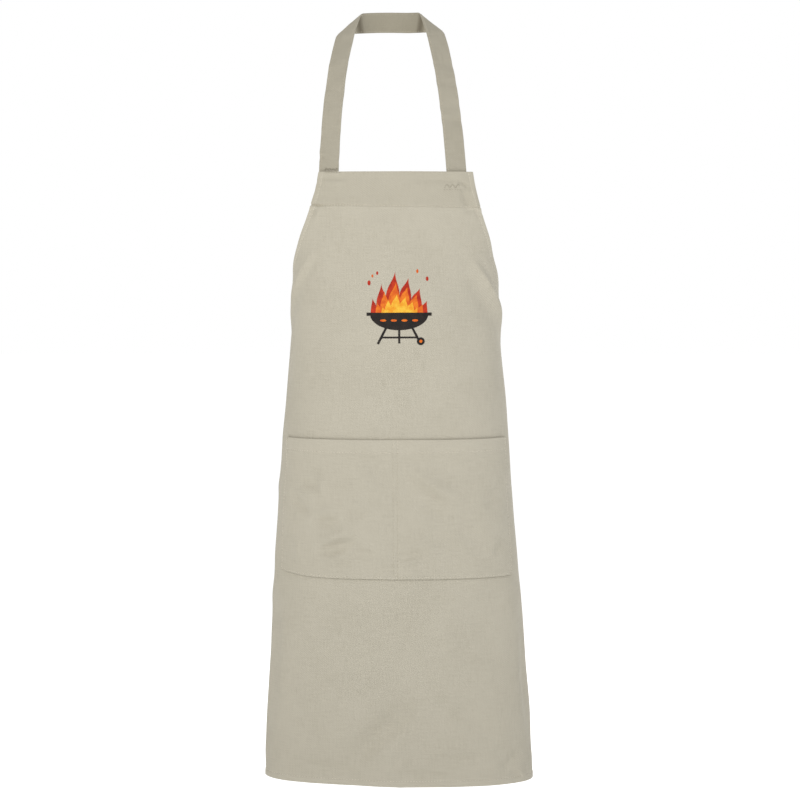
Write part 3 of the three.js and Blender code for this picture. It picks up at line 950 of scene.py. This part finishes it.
def pocket_thread():
    inset = POCKET_STITCH
    top, low = POCKET_TOP - 1, POCKET_BOTTOM + inset
    sides = [(side * (pocket_half(z) - inset), z) for side in (-1, 1) for z in (top, low)]
    hem = POCKET_TOP - POCKET_HEM_STITCH
    reach = POCKET_HALF_TOP - inset
    lines = [path(sides[:2]), path(sides[2:]), path([sides[1], sides[3]])]
    across = spaced(-reach, reach, LINE_STEP)
    lines.append(np.stack([across, POCKET_TOP - pocket_hem_line(across)], axis=1))
    groups = [row_of_stitches(*pocket_place(*line.T)) for line in lines]
    # Painted shade: below the hem the divider's stitches take a darker copy of the thread, near the cloth's
    # colour, for the shade of their groove.
    shaded_rows = [row_of_stitches(*pocket_place(*path([(place, hem), (place, low)]).T)) for place in DIVIDER]
    thread_piece("pocket_divider_thread", shaded_rows, SHADED_THREAD_FINISH, THREAD * 0.8)
    for place in DIVIDER:
        tight = path([(place, top), (place, hem)]) + [0.5, 0]
        groups.append(row_of_stitches(*pocket_place(*tight.T), pitch=1.9))
    for side in (-1, 1):
        step = np.arange(9)
        across = side * (POCKET_HALF_TOP - 2.2 + 1.2 * (step % 2 - 0.5) * 2)
        groups.append(zigzag_stitches(*pocket_place(across, top - step * 1.4)))
    thread_piece("pocket_seam_thread", groups, THREAD_FINISH)


# Neck strap

def turned(vector, axis, angle):
    """A vector turned about a unit axis by the right-hand rule."""
    return (
        vector * math.cos(angle)
        + np.cross(axis, vector) * math.sin(angle)
        + axis * (axis @ vector) * (1 - math.cos(angle))
    )


def strap_leg(leg):
    """One leg of the neck strap with its shoulder fold, as a map from the flat band to space.

    along runs up the band from the bib's top, and offset across it from the outer edge to the neck's.
    """
    side, anchor, length = leg["side"], leg["anchor"], leg["length"]
    right, up, out = skin_frame(side * anchor, BIB_TOP - HEM_STEP)
    behind = CLOTH + SEAM_GAP + CLOTH + STRAP_BEHIND_BIB + BAND_CLOTH / 2
    turn = math.radians(leg["turn"])
    across = unit(-side * right * math.cos(turn) - up * math.sin(turn))
    climb = unit(np.cross(out, across))
    climb = climb if climb[2] > 0 else -climb
    start = skin(side * anchor, BIB_TOP) - out * behind

    def direction(share):
        angle = math.radians(leg["lean"]) * share**LEAN_POWER
        return climb * math.cos(angle) - out * math.sin(angle)

    def across_at(share):
        return turned(across, direction(share), side * math.radians(leg["twist"]) * share)

    def leg_point(along):
        steps = (np.arange(60) + 0.5) / 60 * (along / length)
        angle = math.radians(leg["lean"]) * np.clip(steps, 0, None) ** LEAN_POWER
        return start + along * (climb * np.cos(angle).mean() - out * np.sin(angle).mean())

    fold, roll = math.radians(leg["fold"]), math.radians(leg["roll"])
    top, top_direction, top_across = leg_point(length), direction(1), across_at(1)
    top_out = np.cross(top_across, top_direction)
    top_out = top_out if top_out @ out > 0 else -top_out
    axis = top_direction * math.cos(fold) + top_across * math.sin(fold)
    over = top_direction * math.sin(fold) - top_across * math.cos(fold)

    def fold_point(along, offset):
        on_axis = along * math.cos(fold) + offset * math.sin(fold)
        past = along * math.sin(fold) - offset * math.cos(fold)
        angle = min(max(past / FOLD_RADIUS, 0), roll)
        straight = past if past < 0 else max(past - FOLD_RADIUS * roll, 0)
        outward = FOLD_RADIUS * math.sin(angle) + straight * math.cos(angle)
        backward = FOLD_RADIUS * (1 - math.cos(angle)) + straight * math.sin(angle)
        return top + axis * on_axis + over * outward - top_out * backward

    reach = STRAP_WIDTH / 2 / math.tan(fold)
    end = FOLD_RADIUS * roll / math.sin(fold) + reach

    def point_at(along, offset):
        if along <= 0:
            place = anchor - offset * math.cos(turn) - along * math.sin(turn)
            z = BIB_TOP + along * math.cos(turn) - offset * math.sin(turn)
            point, normal = body_place(side * place, min(z, BIB_TOP))
            point = point - normal * behind
            point[2] = z
            return point
        if along >= length - reach:
            return fold_point(along - length, offset)
        return leg_point(along) + across_at(along / length) * offset

    return point_at, reach, end


def eased(lines, place, passes=10, reach=7):
    """Smooths the rows of a grid near one place."""
    for _ in range(passes):
        near = lines[place - reach:place + reach + 1]
        lines[place - reach + 1:place + reach] = (near[:-2] + 2 * near[1:-1] + near[2:]) / 4
    return lines


def strap_grid(offsets):
    """Middle surface of the band from the left sewn end round the nape to the right one, and the painted
    shade of each of its places: darker just past each shoulder fold and round the nape.
    """
    lean = math.radians(NAPE_LEAN)
    nape_up = np.array([0, -math.sin(lean), math.cos(lean)])
    nape = np.array([0, BAND_CLOTH / 2, 0])
    halves = []
    for k in range(2):
        leg = {name: float(values[k]) for name, values in LEGS.items()}
        point_at, reach, end = strap_leg(leg)
        finish = leg["length"] + end
        stations = np.concatenate([
            spaced(-leg["overlap"], -1, 3),
            spaced(1, leg["length"] - reach - 1, 2.6),
            spaced(leg["length"] - reach, finish, 1.2),
        ])
        lines = [[point_at(along, offset) for offset in offsets] for along in stations]
        origin = point_at(finish, 0)
        heading = unit(origin - point_at(finish - 1, 0))
        from_up = unit(point_at(finish, 1) - origin)
        hooks = [origin, origin + heading * NAPE_PULL, nape + [leg["side"] * NAPE_PULL, 0, 0], nape]
        for share in spaced(0, 1, 1 / 30)[1:]:
            middle = bezier(hooks, share)
            up = unit(from_up + (nape_up - from_up) * share)
            lines.append([middle + up * offset for offset in offsets])
        shoulder = int((stations < leg["length"] - reach).sum())
        half = eased(np.array(lines), shoulder)
        run = band_length(half)
        past = run - run[len(stations) - 1] + end
        # Painted shade: darker in a band just past each shoulder fold, and a steady darker tint round the
        # nape.
        inside = past[:, None] - FOLD_PAST + FOLD_SLANT * offsets
        nape_shade = NAPE_PAINTED_SHADE * soft_step(inside, NAPE_FADE)
        halves.append((half, np.maximum(bell(inside, FOLD_PAINTED_SHADE), nape_shade)))
    (left, left_fold_shade), (right, right_fold_shade) = halves
    return np.concatenate([left, right[-2::-1]]), np.concatenate([left_fold_shade, right_fold_shade[-2::-1]])


def grid_normals(points):
    """Outward directions of a grid whose rows run along a band."""
    travel = np.gradient(points, axis=0)
    across = np.gradient(points, axis=1)
    return unit(np.cross(across, travel))


def raised(points, relief):
    return points + grid_normals(points) * relief[..., None]


def band_length(points):
    return run_along(points[:, points.shape[1] // 2])


def band_sheet(name, points, width, node_name, edge_stitches, thick=BAND_CLOTH, deep=0.0):
    """A band of cloth round its middle surface, whose rows run along it, with its stitched edges.

    edge_stitches are the distances of the stitched lines from the band's two long edges. deep is the
    painted shade at each place, darker by the shoulder folds and round the nape.
    """
    deep = np.broadcast_to(deep, points.shape[:2])
    normals = grid_normals(points)
    front = points + normals * thick / 2
    along = band_length(points)
    offsets = np.linspace(-width / 2, width / 2, points.shape[1])
    groups = []
    for inset in edge_stitches:
        place = width / 2 - abs(inset) if inset > 0 else -width / 2 + abs(inset)
        k = (place + width / 2) / width * (len(offsets) - 1)
        low = int(k)
        share = k - low
        line = front[:, low] * (1 - share) + front[:, low + 1] * share
        outs = normals[:, low]
        for run, facing in both_sides(line, outs, thick):
            groups.append(row_of_stitches(run, facing))
    flat = np.stack(np.broadcast_arrays(offsets[None, :], along[:, None]), axis=-1)
    test = np.cross(front[0, 1] - front[0, 0], front[1, 0] - front[0, 0]) @ normals[0, 0]
    if test < 0:
        front, flat, deep = front[:, ::-1], flat[:, ::-1], deep[:, ::-1]
    obj = cloth_sheet(name, front, flat, thick, (BAND_TWILL, BAND_REVERSE), BAND_RIM_ROUND, deep)
    dress(obj, node_name)
    return obj, float(along[-1]), groups


def band_relief(along, offset, phase, strength=1.0):
    """Soft creases across a worn band."""
    return strength * sum(
        height * np.sin(along / length + offset / slope + share * phase)
        for height, length, slope, share in BAND_RIPPLES
    )


def neck_band():
    offsets = np.linspace(-STRAP_WIDTH / 2, STRAP_WIDTH / 2, 15)
    # deep is the band's painted shade by its shoulder folds and round the nape.
    points, deep = strap_grid(offsets)
    along = band_length(points)[:, None]
    total = along[-1, 0]
    loose = np.clip(np.minimum(along - 14, total - 28 - along) / 20, 0, 1)
    relief = band_relief(along, offsets[None, :], 0.7)
    for place, turn, height, spread in STRAP_CREASES:
        at = place if place > 0 else total + place
        off = (along - at) + turn * offsets[None, :]
        relief = relief + height * bell(off, spread)
    from_nape = np.abs(along - total / 2)
    loose = loose * np.clip((from_nape - NAPE_STILL) / 30, 0.12, 1)
    points = raised(points, relief * loose)
    obj, length, groups = band_sheet("neck_band", points, STRAP_WIDTH, "neck_strap", (2.4, -2.4), deep=deep)
    thread_piece("strap_edge_thread", groups, BAND_THREAD_FINISH, THREAD * 0.8)


# Waist ties

def bezier(hooks, share):
    a, b, c, d = hooks
    rest = 1 - share
    return a * rest**3 + 3 * b * share * rest**2 + 3 * c * share**2 * rest + d * share**3


def waist_band(side, name, node_name):
    inside = HEM_CLOTH + SEAM_GAP + CLOTH / 2 + 0.7
    knot_side = np.array([TIE_CENTRE + side * (KNOT_WIDTH / 2 - TIE_IN_KNOT), TIE_BACK, KNOT_Z])
    sewn = spaced(SKIRT_HALF - TIE_OVERLAP, SKIRT_HALF, 4)
    columns = []
    rises = np.linspace(-TIE_WIDTH / 2, TIE_WIDTH / 2, 11)
    shares = spaced(0, 1, 1 / 60)[1:]
    for rise in rises:
        z = KNOT_Z + rise
        point, out = body_place(side * sewn, np.full_like(sewn, z))
        line = point - out * inside
        heading = unit((line[-1] - line[-2]) * [1, 1, 0])
        finish = knot_side + [0, 0, rise * TIE_GATHER]
        hooks = [line[-1], line[-1] + heading * TIE_PULL, finish + [side * TIE_PULL, 0, 0], finish]
        free = [bezier(hooks, share) for share in shares]
        columns.append(np.concatenate([line, free]))
    points = np.array(columns).transpose(1, 0, 2)
    along = band_length(points)[:, None]
    near_knot = np.concatenate([np.zeros(len(sewn)), shares])[:, None] ** 3
    pleats = PLEAT * np.sin(rises[None, :] / TIE_WIDTH * PLEATS * 2 * math.pi + 0.6 * side) * near_knot
    loose = np.clip((along - TIE_OVERLAP) / 15, 0, 1)
    relief = pleats + band_relief(along, rises[None, :], 1.3 + side, 0.8) * loose
    points = raised(points, relief)
    obj, length, groups = band_sheet(name, points, TIE_WIDTH, node_name, (2.2, -2.2), CLOTH)
    return groups


def tail_band(side, name, node_name):
    lines = []
    places = np.linspace(-0.5, 0.5, 11)
    for share in spaced(0, 1, 1 / 120):
        spread = min(share / TAIL_SPREAD_SHARE, 1)
        width = TAIL_GATHERED + (TIE_WIDTH - TAIL_GATHERED) * math.sin(spread * math.pi / 2)
        bend = math.sin(math.pi * share)
        middle = np.array([
            TIE_CENTRE + side * (TAIL_START + TAIL_DRIFT * share + TAIL_BOW * bend),
            TIE_BACK + side * CLOTH + TAIL_HANG * bend,
            KNOT_Z - KNOT_HEIGHT / 2 + TAIL_IN_KNOT - (TAIL_LENGTH + TAIL_IN_KNOT) * share,
        ])
        curl = TAIL_CURL * (1 - spread) * np.cos(places * 2.2 * 2 * math.pi + side)
        lines.append([
            middle + [place * width, 2 * place * side + ripple, 0] for place, ripple in zip(places, curl)
        ])
    points = np.array(lines)
    along = band_length(points)[:, None]
    relief = band_relief(along, places[None, :] * TIE_WIDTH, 2.9 + side, 1.3) * np.clip(along / 40, 0, 1)
    points = raised(points, relief)
    obj, length, groups = band_sheet(name, points, TIE_WIDTH, node_name, (2.2, -2.2), CLOTH)
    end = points[-6:-5, 1:-1][0]
    outs = grid_normals(points)[-6, 1:-1]
    for run, facing in both_sides(end + outs * CLOTH / 2, outs, CLOTH):
        groups.append(row_of_stitches(run, facing))
    return groups


def knot_loop(name, node_name, tilt, grow, phase, wide):
    """One turn of the gathered tie round the knot, as a closed sleeve of pleated cloth."""
    tall, deep = KNOT_HEIGHT / 2 - 2.4 + grow, KNOT_DEPTH / 2 - 2.2 + grow
    lean = math.radians(tilt)
    obj = add_piece(
        name, bpy.ops.mesh.primitive_torus_add,
        major_segments=KNOT_STEPS, minor_segments=KNOT_SIDES, major_radius=1, minor_radius=0.25,
    )
    start = vertex_array(obj.data)
    major = np.arctan2(start[:, 1], start[:, 0])
    from_ring = np.hypot(start[:, 0], start[:, 1]) - 1
    minor = np.arctan2(start[:, 2], from_ring)
    fold = np.sin(KNOT_PLEATS * minor + phase + 0.8 * np.sin(major))
    pleat = 1 + KNOT_PLEAT * fold * np.abs(np.cos(minor / 2 + 0.4))
    half = KNOT_BAND / 2 * wide * (0.86 + 0.14 * np.cos(2 * major))
    over = half * np.sin(minor)
    out = KNOT_WALL * np.cos(minor) * pleat
    y = (deep + out) * np.cos(major)
    z = (tall + out) * np.sin(major)
    x = over + 0.25 * half * np.sin(major + phase)
    turned_x = x * math.cos(lean) - z * math.sin(lean)
    turned_z = x * math.sin(lean) + z * math.cos(lean)
    points = np.stack([TIE_CENTRE + turned_x, TIE_BACK + y, KNOT_Z + turned_z], axis=1)
    move_vertices(obj.data, points)
    obj.data.materials.append(BAND_TWILL)
    edit_all(obj, bpy.ops.mesh.normals_make_consistent, inside=False)
    apply_modifier(obj, "SUBSURF", levels=1, render_levels=1)
    bpy.ops.object.shade_smooth()
    dress(obj, node_name)


def tie_knot():
    """A plain knot: one turn of the tie pulled over another, round the gathered ends in its middle."""
    for turn in KNOT_TURNS:
        knot_loop(*turn)


# Printed picture: a plain grill with flames over it

def flame_outline(wide, tall, shift):
    """Outline of a row of flame tongues over the grill's rim, scaled about the rim's middle."""
    points = [np.array([-FLAME_HALF, 0.0])]
    for tip, height, valley, floor in zip(*TONGUES.values()):
        low, top, end = points[-1], np.array([tip, height]), np.array([valley, floor])
        rise, fall = top[1] - low[1], top[1] - end[1]
        up = (low, low + [0.0, 0.5 * rise], top + [0.3 * (low[0] - tip), -0.42 * rise], top)
        down = (top, top + [-0.6, -0.4 * fall], end + [0.0, 0.5 * fall], end)
        points += [bezier(up, share) for share in spaced(0, 1, 1 / 9)[1:]]
        points += [bezier(down, share) for share in spaced(0, 1, 1 / 9)[1:]]
    outline = np.array(points) * [wide, tall]
    return outline + [shift, RIM_RISE]


def oval(middle, wide, tall, start=0.0, end=360.0, count=28):
    angle = np.radians(np.linspace(start, end, count, endpoint=end - start < 360))
    return np.array(middle) + np.stack([wide * np.cos(angle), tall * np.sin(angle)], axis=1)


def bar(start, end, width):
    """A straight stroke with square ends."""
    start, end = np.array(start, float), np.array(end, float)
    across = unit(end - start) @ np.array([[0, 1], [-1, 0]]) * width / 2
    return np.array([start + across, start - across, end - across, end + across])


def ink_piece(name, outlines, lift, finish):
    """A film of ink on the cloth: filled outlines, cut small enough to bend with the body."""
    made = []
    for outline in outlines:
        obj = add_piece(
            name, bpy.ops.mesh.primitive_circle_add, vertices=len(outline), radius=1, fill_type="NOTHING"
        )
        flat = np.column_stack([outline[:, 0], np.zeros(len(outline)), outline[:, 1]])
        obj.data.vertices.foreach_set("co", flat.ravel())
        edit_all(obj, bpy.ops.mesh.fill, use_beauty=True)
        for axis, normal in ((0, (1, 0, 0)), (1, (0, 0, 1))):
            low, high = outline[:, axis].min(), outline[:, axis].max()
            for place in np.arange(math.ceil(low / INK_STEP), high / INK_STEP) * INK_STEP:
                spot = [place * part for part in normal]
                edit_all(obj, bpy.ops.mesh.bisect, plane_co=spot, plane_no=normal)
        made.append(obj)
    obj = made[0]
    activate(obj)
    for part in made:
        part.select_set(True)
    if len(made) > 1:
        bpy.ops.object.join()
    mesh = obj.data
    spots = vertex_array(mesh)
    across, z = PRINT_ACROSS + spots[:, 0], PRINT_Z + spots[:, 2]
    points, _ = body_place(across, z, lift)
    move_vertices(mesh, points)
    lay_flat(mesh, mesh.uv_layers.new(name="flat_cut"), np.stack([across, z], axis=1))
    if sum(polygon.normal[1] for polygon in mesh.polygons) > 0:
        edit_all(obj, bpy.ops.mesh.flip_normals)
    mesh.materials.append(finish)
    apply_modifier(obj, "SOLIDIFY", thickness=INK_THICK * MM, offset=-1)
    bpy.ops.object.shade_smooth_by_angle(angle=math.radians(INK_SMOOTH_ANGLE))
    dress(obj, None)


def grill_print():
    red, orange, yellow, black = INKS
    ink_piece("print_flame_outer", [
        flame_outline(1, 1, 0),
        oval((-43, 36), 2.2, 3.6), oval((41, 42), 1.9, 3.2), oval((-31, 50), 1.5, 2.6),
    ], 0.16, red)
    ink_piece("print_flame_middle", [
        flame_outline(0.84, 0.76, 0.4), oval((27, 53), 1.6, 2.9), oval((-38, 46), 1.3, 2.2),
    ], 0.21, orange)
    ink_piece("print_flame_inner", [flame_outline(0.64, 0.48, 0.6)], 0.26, yellow)
    ink_piece("print_grill", [
        oval((0, RIM_RISE), 42, 23, 180, 360, 34),
        bar((-47, RIM_RISE), (47, RIM_RISE), 4.4),
        bar((-18, RIM_RISE - 18), (-31, -52), 3.2),
        bar((18, RIM_RISE - 18), (31, -52), 3.2),
        bar((0, RIM_RISE - 20), (0, -51), 2.8),
        bar((-25, -42.5), (25, -42.5), 2.4),
        oval((31, -48), 5.6, 5.6),
    ], 0.32, black)
    glow = [oval((place, RIM_RISE - 9), 4.4, 1.7) for place in (-23, -7.7, 7.7, 23)]
    ink_piece("print_glow", glow + [oval((31, -48), 2.2, 2.2)], 0.38, orange)


# Materials

def colour(code):
    """Linear colour of an sRGB hex value."""
    parts = [int(code[i:i + 2], 16) / 255 for i in (1, 3, 5)]
    linear = [c / 12.92 if c <= 0.04045 else ((c + 0.055) / 1.055) ** 2.4 for c in parts]
    return (*linear, 1)


def feed(tree, made, inputs):
    """Gives a node its inputs. Each is a value or another node's output."""
    for key, value in inputs.items():
        if isinstance(value, bpy.types.NodeSocket):
            tree.links.new(value, made.inputs[key])
        else:
            made.inputs[key].default_value = value


def node(tree, kind, inputs, **settings):
    """Adds a shader node with its settings and inputs."""
    made = tree.nodes.new("ShaderNode" + kind)
    for key, value in settings.items():
        setattr(made, key, value)
    feed(tree, made, inputs)
    return made


def new_material(name, **values):
    """A material whose constant values stand on the shader's own sockets."""
    material = bpy.data.materials.new(name)
    material.use_nodes = True
    shader = material.node_tree.nodes["Principled BSDF"]
    for key, value in values.items():
        shader.inputs[key.replace("_", " ").title().replace("Ior", "IOR")].default_value = value
    return material, material.node_tree, shader


def woven_relief(tree, flat, rib_turn, rib_depth):
    """Weave of the cloth from its flat coordinates: the twill's diagonal rib, and the threads' unevenness.

    A real rib of 0.7 mm is finer than a pixel of the picture, so it is drawn RIB mm wide. Threads of
    0.35 mm are drawn as SLUB mm streaks along the warp and the weft for the same reason.
    """
    slant = node(tree, "Mapping", {"Vector": flat, "Rotation": (0, 0, math.radians(rib_turn))})
    rib = node(
        tree, "TexWave",
        {"Vector": slant.outputs[0], "Scale": WAVE_UNIT / (RIB * MM), "Distortion": 0.9, "Detail": 2.0,
         "Detail Scale": 1.4},
        bands_direction="X",
    ).outputs["Fac"]
    per_metre = 1 / (SLUB * MM)
    slubs = {}
    for k, scale in enumerate(((per_metre, per_metre / 14, 1), (per_metre / 14, per_metre, 1))):
        threads = node(tree, "Mapping", {"Vector": flat, "Scale": scale}).outputs[0]
        noise = node(tree, "TexNoise", {"Vector": threads, "Scale": 1.0, "Detail": 1.0})
        slubs[k] = noise.outputs["Fac"]
    slub = node(tree, "Math", slubs, operation="ADD").outputs[0]
    crumple = node(
        tree, "TexNoise", {"Vector": flat, "Scale": 1 / (CRUMPLE * MM), "Detail": 3.0, "Roughness": 0.55}
    ).outputs["Fac"]
    below = {}
    for height, depth in ((crumple, CRUMPLE_DEPTH), (slub, SLUB_DEPTH), (rib, rib_depth)):
        relief = node(tree, "Bump", {"Height": height, "Strength": 1.0, "Distance": depth * MM, **below})
        below = {"Normal": relief.outputs[0]}
    return rib, slub, relief.outputs[0]


def twill(name, light, shade, double, deep, rib_turn=-55, rib_depth=0.1):
    """Woven cotton twill: warp threads float over the weft in a diagonal rib. It gives the eye a matt, dry
    face with a faint slant, uneven threads, and hems a shade lighter where the cloth lies double.
    """
    material, tree, shader = new_material(
        name, roughness=0.88, specular_ior_level=0.25, sheen_weight=0.12, sheen_roughness=0.45
    )
    flat = node(tree, "UVMap", {}, uv_map="flat_cut").outputs["UV"]
    rib, slub, relief = woven_relief(tree, flat, rib_turn, rib_depth)
    dye = node(tree, "TexNoise", {"Vector": flat, "Scale": 1 / (DYE * MM), "Detail": 4.0})
    fibre = node(tree, "TexNoise", {"Vector": flat, "Scale": 1 / (FIBRE * MM), "Detail": 2.0})
    tone = node(tree, "Math", {0: slub, 1: SLUB_SHADE, 2: SHADE_START}, operation="MULTIPLY_ADD")
    patches = ((rib, RIB_SHADE), (dye.outputs["Fac"], DYE_SHADE), (fibre.outputs["Fac"], FIBRE_SHADE))
    for value, weight in patches:
        tone = node(tree, "Math", {0: value, 1: weight, 2: tone.outputs[0]}, operation="MULTIPLY_ADD")
    tone.use_clamp = True
    layers = node(tree, "Attribute", {}, attribute_name="double_cloth").outputs["Fac"]
    amount = node(tree, "Math", {0: layers, 1: DOUBLE_SHADE}, operation="MULTIPLY")
    # Painted shade: this attribute darkens the cloth toward the deep tint by the strap's folds, round the
    # nape and on the bib's top.
    inside = node(tree, "Attribute", {}, attribute_name="painted_shade").outputs["Fac"]
    cloth = colour(shade)
    for factor, tint in ((tone.outputs[0], light), (amount.outputs[0], double), (inside, deep)):
        mixed = node(tree, "Mix", {"Factor": factor, "A": cloth, "B": colour(tint)}, data_type="RGBA")
        cloth = mixed.outputs["Result"]
    rough = node(
        tree, "MapRange", {"Value": rib, "From Min": 0.0, "From Max": 1.0, "To Min": 0.94, "To Max": 0.82}
    )
    feed(tree, shader, {"Base Color": cloth, "Roughness": rough.outputs["Result"], "Normal": relief})
    return material


def sewing_thread(name, light, shade):
    """Spun polyester sewing thread, two plies twisted: a little smoother and lighter than the cloth, so
    each stitch catches the light.
    """
    material, tree, shader = new_material(name, roughness=0.6, specular_ior_level=0.4, sheen_weight=0.1)
    place = node(tree, "TexCoord", {}).outputs["Object"]
    ply = node(tree, "TexNoise", {"Vector": place, "Scale": 1 / (PLY * MM), "Detail": 2.0})
    blend = node(
        tree, "Mix", {"Factor": ply.outputs["Fac"], "A": colour(shade), "B": colour(light)},
        data_type="RGBA",
    )
    bump = node(
        tree, "Bump", {"Height": ply.outputs["Fac"], "Strength": 0.7, "Distance": 0.06 * MM}
    )
    feed(tree, shader, {"Base Color": blend.outputs["Result"], "Normal": bump.outputs[0]})
    return material


def screen_ink(name, light, shade):
    """Plastisol ink, screen printed and cured: opaque and flat in colour, a little smoother than the
    cotton, with the twill's rib showing through and small breaks in its depth.
    """
    material, tree, shader = new_material(name, roughness=0.55, specular_ior_level=0.35)
    flat = node(tree, "UVMap", {}, uv_map="flat_cut").outputs["UV"]
    rib, slub, relief = woven_relief(tree, flat, -55, 0.04)
    patch = node(tree, "TexNoise", {"Vector": flat, "Scale": 1 / (INK_PATCH * MM), "Detail": 5.0})
    tone = node(
        tree, "MapRange",
        {"Value": patch.outputs["Fac"], "From Min": 0.38, "From Max": 0.62, "To Min": 0.0, "To Max": 1.0},
    )
    blend = node(
        tree, "Mix", {"Factor": tone.outputs["Result"], "A": colour(shade), "B": colour(light)},
        data_type="RGBA",
    )
    rough = node(
        tree, "MapRange", {"Value": slub, "From Min": 0.7, "From Max": 1.3, "To Min": 0.5, "To Max": 0.66}
    )
    blended, roughness = blend.outputs["Result"], rough.outputs["Result"]
    feed(tree, shader, {"Base Color": blended, "Roughness": roughness, "Normal": relief})
    return material


# Studio

def aim(obj, target):
    obj.rotation_euler = (Vector(target) - obj.location).to_track_quat("-Z", "Y").to_euler()


def area_light(name, place, target, size, power, tint):
    data = bpy.data.lights.new(name, "AREA")
    data.shape = "RECTANGLE"
    data.size = data.size_y = size
    data.energy = power
    data.color = colour(tint)[:3]
    obj = bpy.data.objects.new(name, data)
    bpy.context.scene.collection.objects.link(obj)
    obj.location = place
    aim(obj, target)
    obj.visible_camera = False


def set_camera():
    camera_data = bpy.data.cameras.new("camera")
    camera_data.sensor_width = 36
    camera_data.lens = CAMERA_LENS
    camera = bpy.data.objects.new("camera", camera_data)
    bpy.context.scene.collection.objects.link(camera)
    camera.location = CAMERA_PLACE
    camera.rotation_euler = (math.radians(90 - CAMERA_TILT), 0, 0)
    bpy.context.scene.camera = camera


def studio_floor():
    """A white floor whose outer part glows, painted light that lifts it to clean white, so that no horizon
    shows.
    """
    floor = add_piece(
        "studio_floor", bpy.ops.mesh.primitive_plane_add, size=FLOOR_SIZE, location=(0, 0, 0)
    )
    for vertex in floor.data.vertices:
        vertex.co.z = FLOOR
    material, tree, shader = new_material("white_floor_paint_with_painted_glow", roughness=0.9)
    shader.inputs["Base Color"].default_value = colour("#f4f4f2")
    # Painted light: the floor's emission grows from nought near the middle to FLOOR_GLOW far out.
    shader.inputs["Emission Color"].default_value = (1, 1, 1, 1)
    place = node(tree, "TexCoord", {}).outputs["Object"]
    middle = node(tree, "VectorMath", {0: place, 1: (0, 0, FLOOR)}, operation="SUBTRACT")
    reach = node(tree, "VectorMath", {0: middle.outputs[0]}, operation="LENGTH")
    lift = node(
        tree, "MapRange",
        {"Value": reach.outputs["Value"], "From Min": GLOW_FROM, "From Max": GLOW_TO, "To Min": 0.0,
         "To Max": FLOOR_GLOW},
        interpolation_type="SMOOTHSTEP",
    )
    tree.links.new(lift.outputs["Result"], shader.inputs["Emission Strength"])
    floor.data.materials.append(material)


def studio_light():
    scene = bpy.context.scene
    scene.world = scene.world or bpy.data.worlds.new("studio")
    scene.world.use_nodes = True
    tree = scene.world.node_tree
    ray = node(tree, "LightPath", {})
    strength = node(
        tree, "Mix", {"Factor": ray.outputs["Is Camera Ray"], "A": AMBIENT, "B": 1.0}, data_type="FLOAT"
    )
    background = tree.nodes["Background"]
    background.inputs["Color"].default_value = (1, 1, 1, 1)
    tree.links.new(strength.outputs["Result"], background.inputs["Strength"])
    scene.view_settings.view_transform = "Standard"
    for softbox in SOFTBOXES:
        area_light(*softbox)


set_camera()
studio_floor()
studio_light()

# The last colour of each twill is the tint of painted shade that the vertices' shade attribute mixes in:
# #aaa493 and #aaa391 on the bib's top before the facing, #797263 by the strap's folds and round the nape.
TWILL = twill("woven_cotton_twill", "#c5bfaf", "#b2ac9b", "#c9c3b3", "#aaa493")
REVERSE = twill(
    "woven_cotton_twill_reverse", "#bdb6a5", "#aaa391", "#bdb6a5", "#aaa391", rib_turn=35, rib_depth=0.06
)
BAND_TWILL = twill("folded_cotton_twill_band", "#b2ac9c", "#9d9786", "#b2ac9c", "#b2ac9c")
BAND_REVERSE = twill(
    "folded_cotton_twill_band_inside", "#b1ab9a", "#9c9686", "#b1ab9a", "#797263", rib_turn=35
)
THREAD_FINISH = sewing_thread("spun_polyester_thread", "#e6e0d2", "#d3ccbc")
# A darker copy of the thread: painted shade for stitches sunk in a groove.
SHADED_THREAD_FINISH = sewing_thread("spun_polyester_thread_painted_shade", "#c8c1af", "#bbb4a1")
BAND_THREAD_FINISH = sewing_thread("spun_polyester_thread_band", "#d3ccbb", "#bfb7a4")
# The tack thread is painted dark: painted shade of loops sunk in the cloth.
TACK_SHADE_FINISH = sewing_thread("spun_polyester_tack_thread_painted_shade", "#948c79", "#6f6857")
INKS = (
    screen_ink("screen_ink_red", "#c8340f", "#a8200b"),
    screen_ink("screen_ink_orange", "#f0801a", "#dc5c10"),
    screen_ink("screen_ink_yellow", "#fbc63f", "#f2a01f"),
    screen_ink("screen_ink_black", "#231a16", "#15100e"),
)

body_sheet()
facing_sheet()
body_thread()
strap_tacks()
grill_print()
pocket_sheet()
pocket_thread()
neck_band()
tie_groups = []
for side, word in ((-1, "left"), (1, "right")):
    tie_groups += waist_band(side, f"waist_band_{word}", f"waist_tie_{word}")
    tie_groups += tail_band(side, f"tail_band_{word}", f"tie_tail_{word}")
thread_piece("tie_edge_thread", tie_groups, BAND_THREAD_FINISH, THREAD * 0.8)
tie_knot()
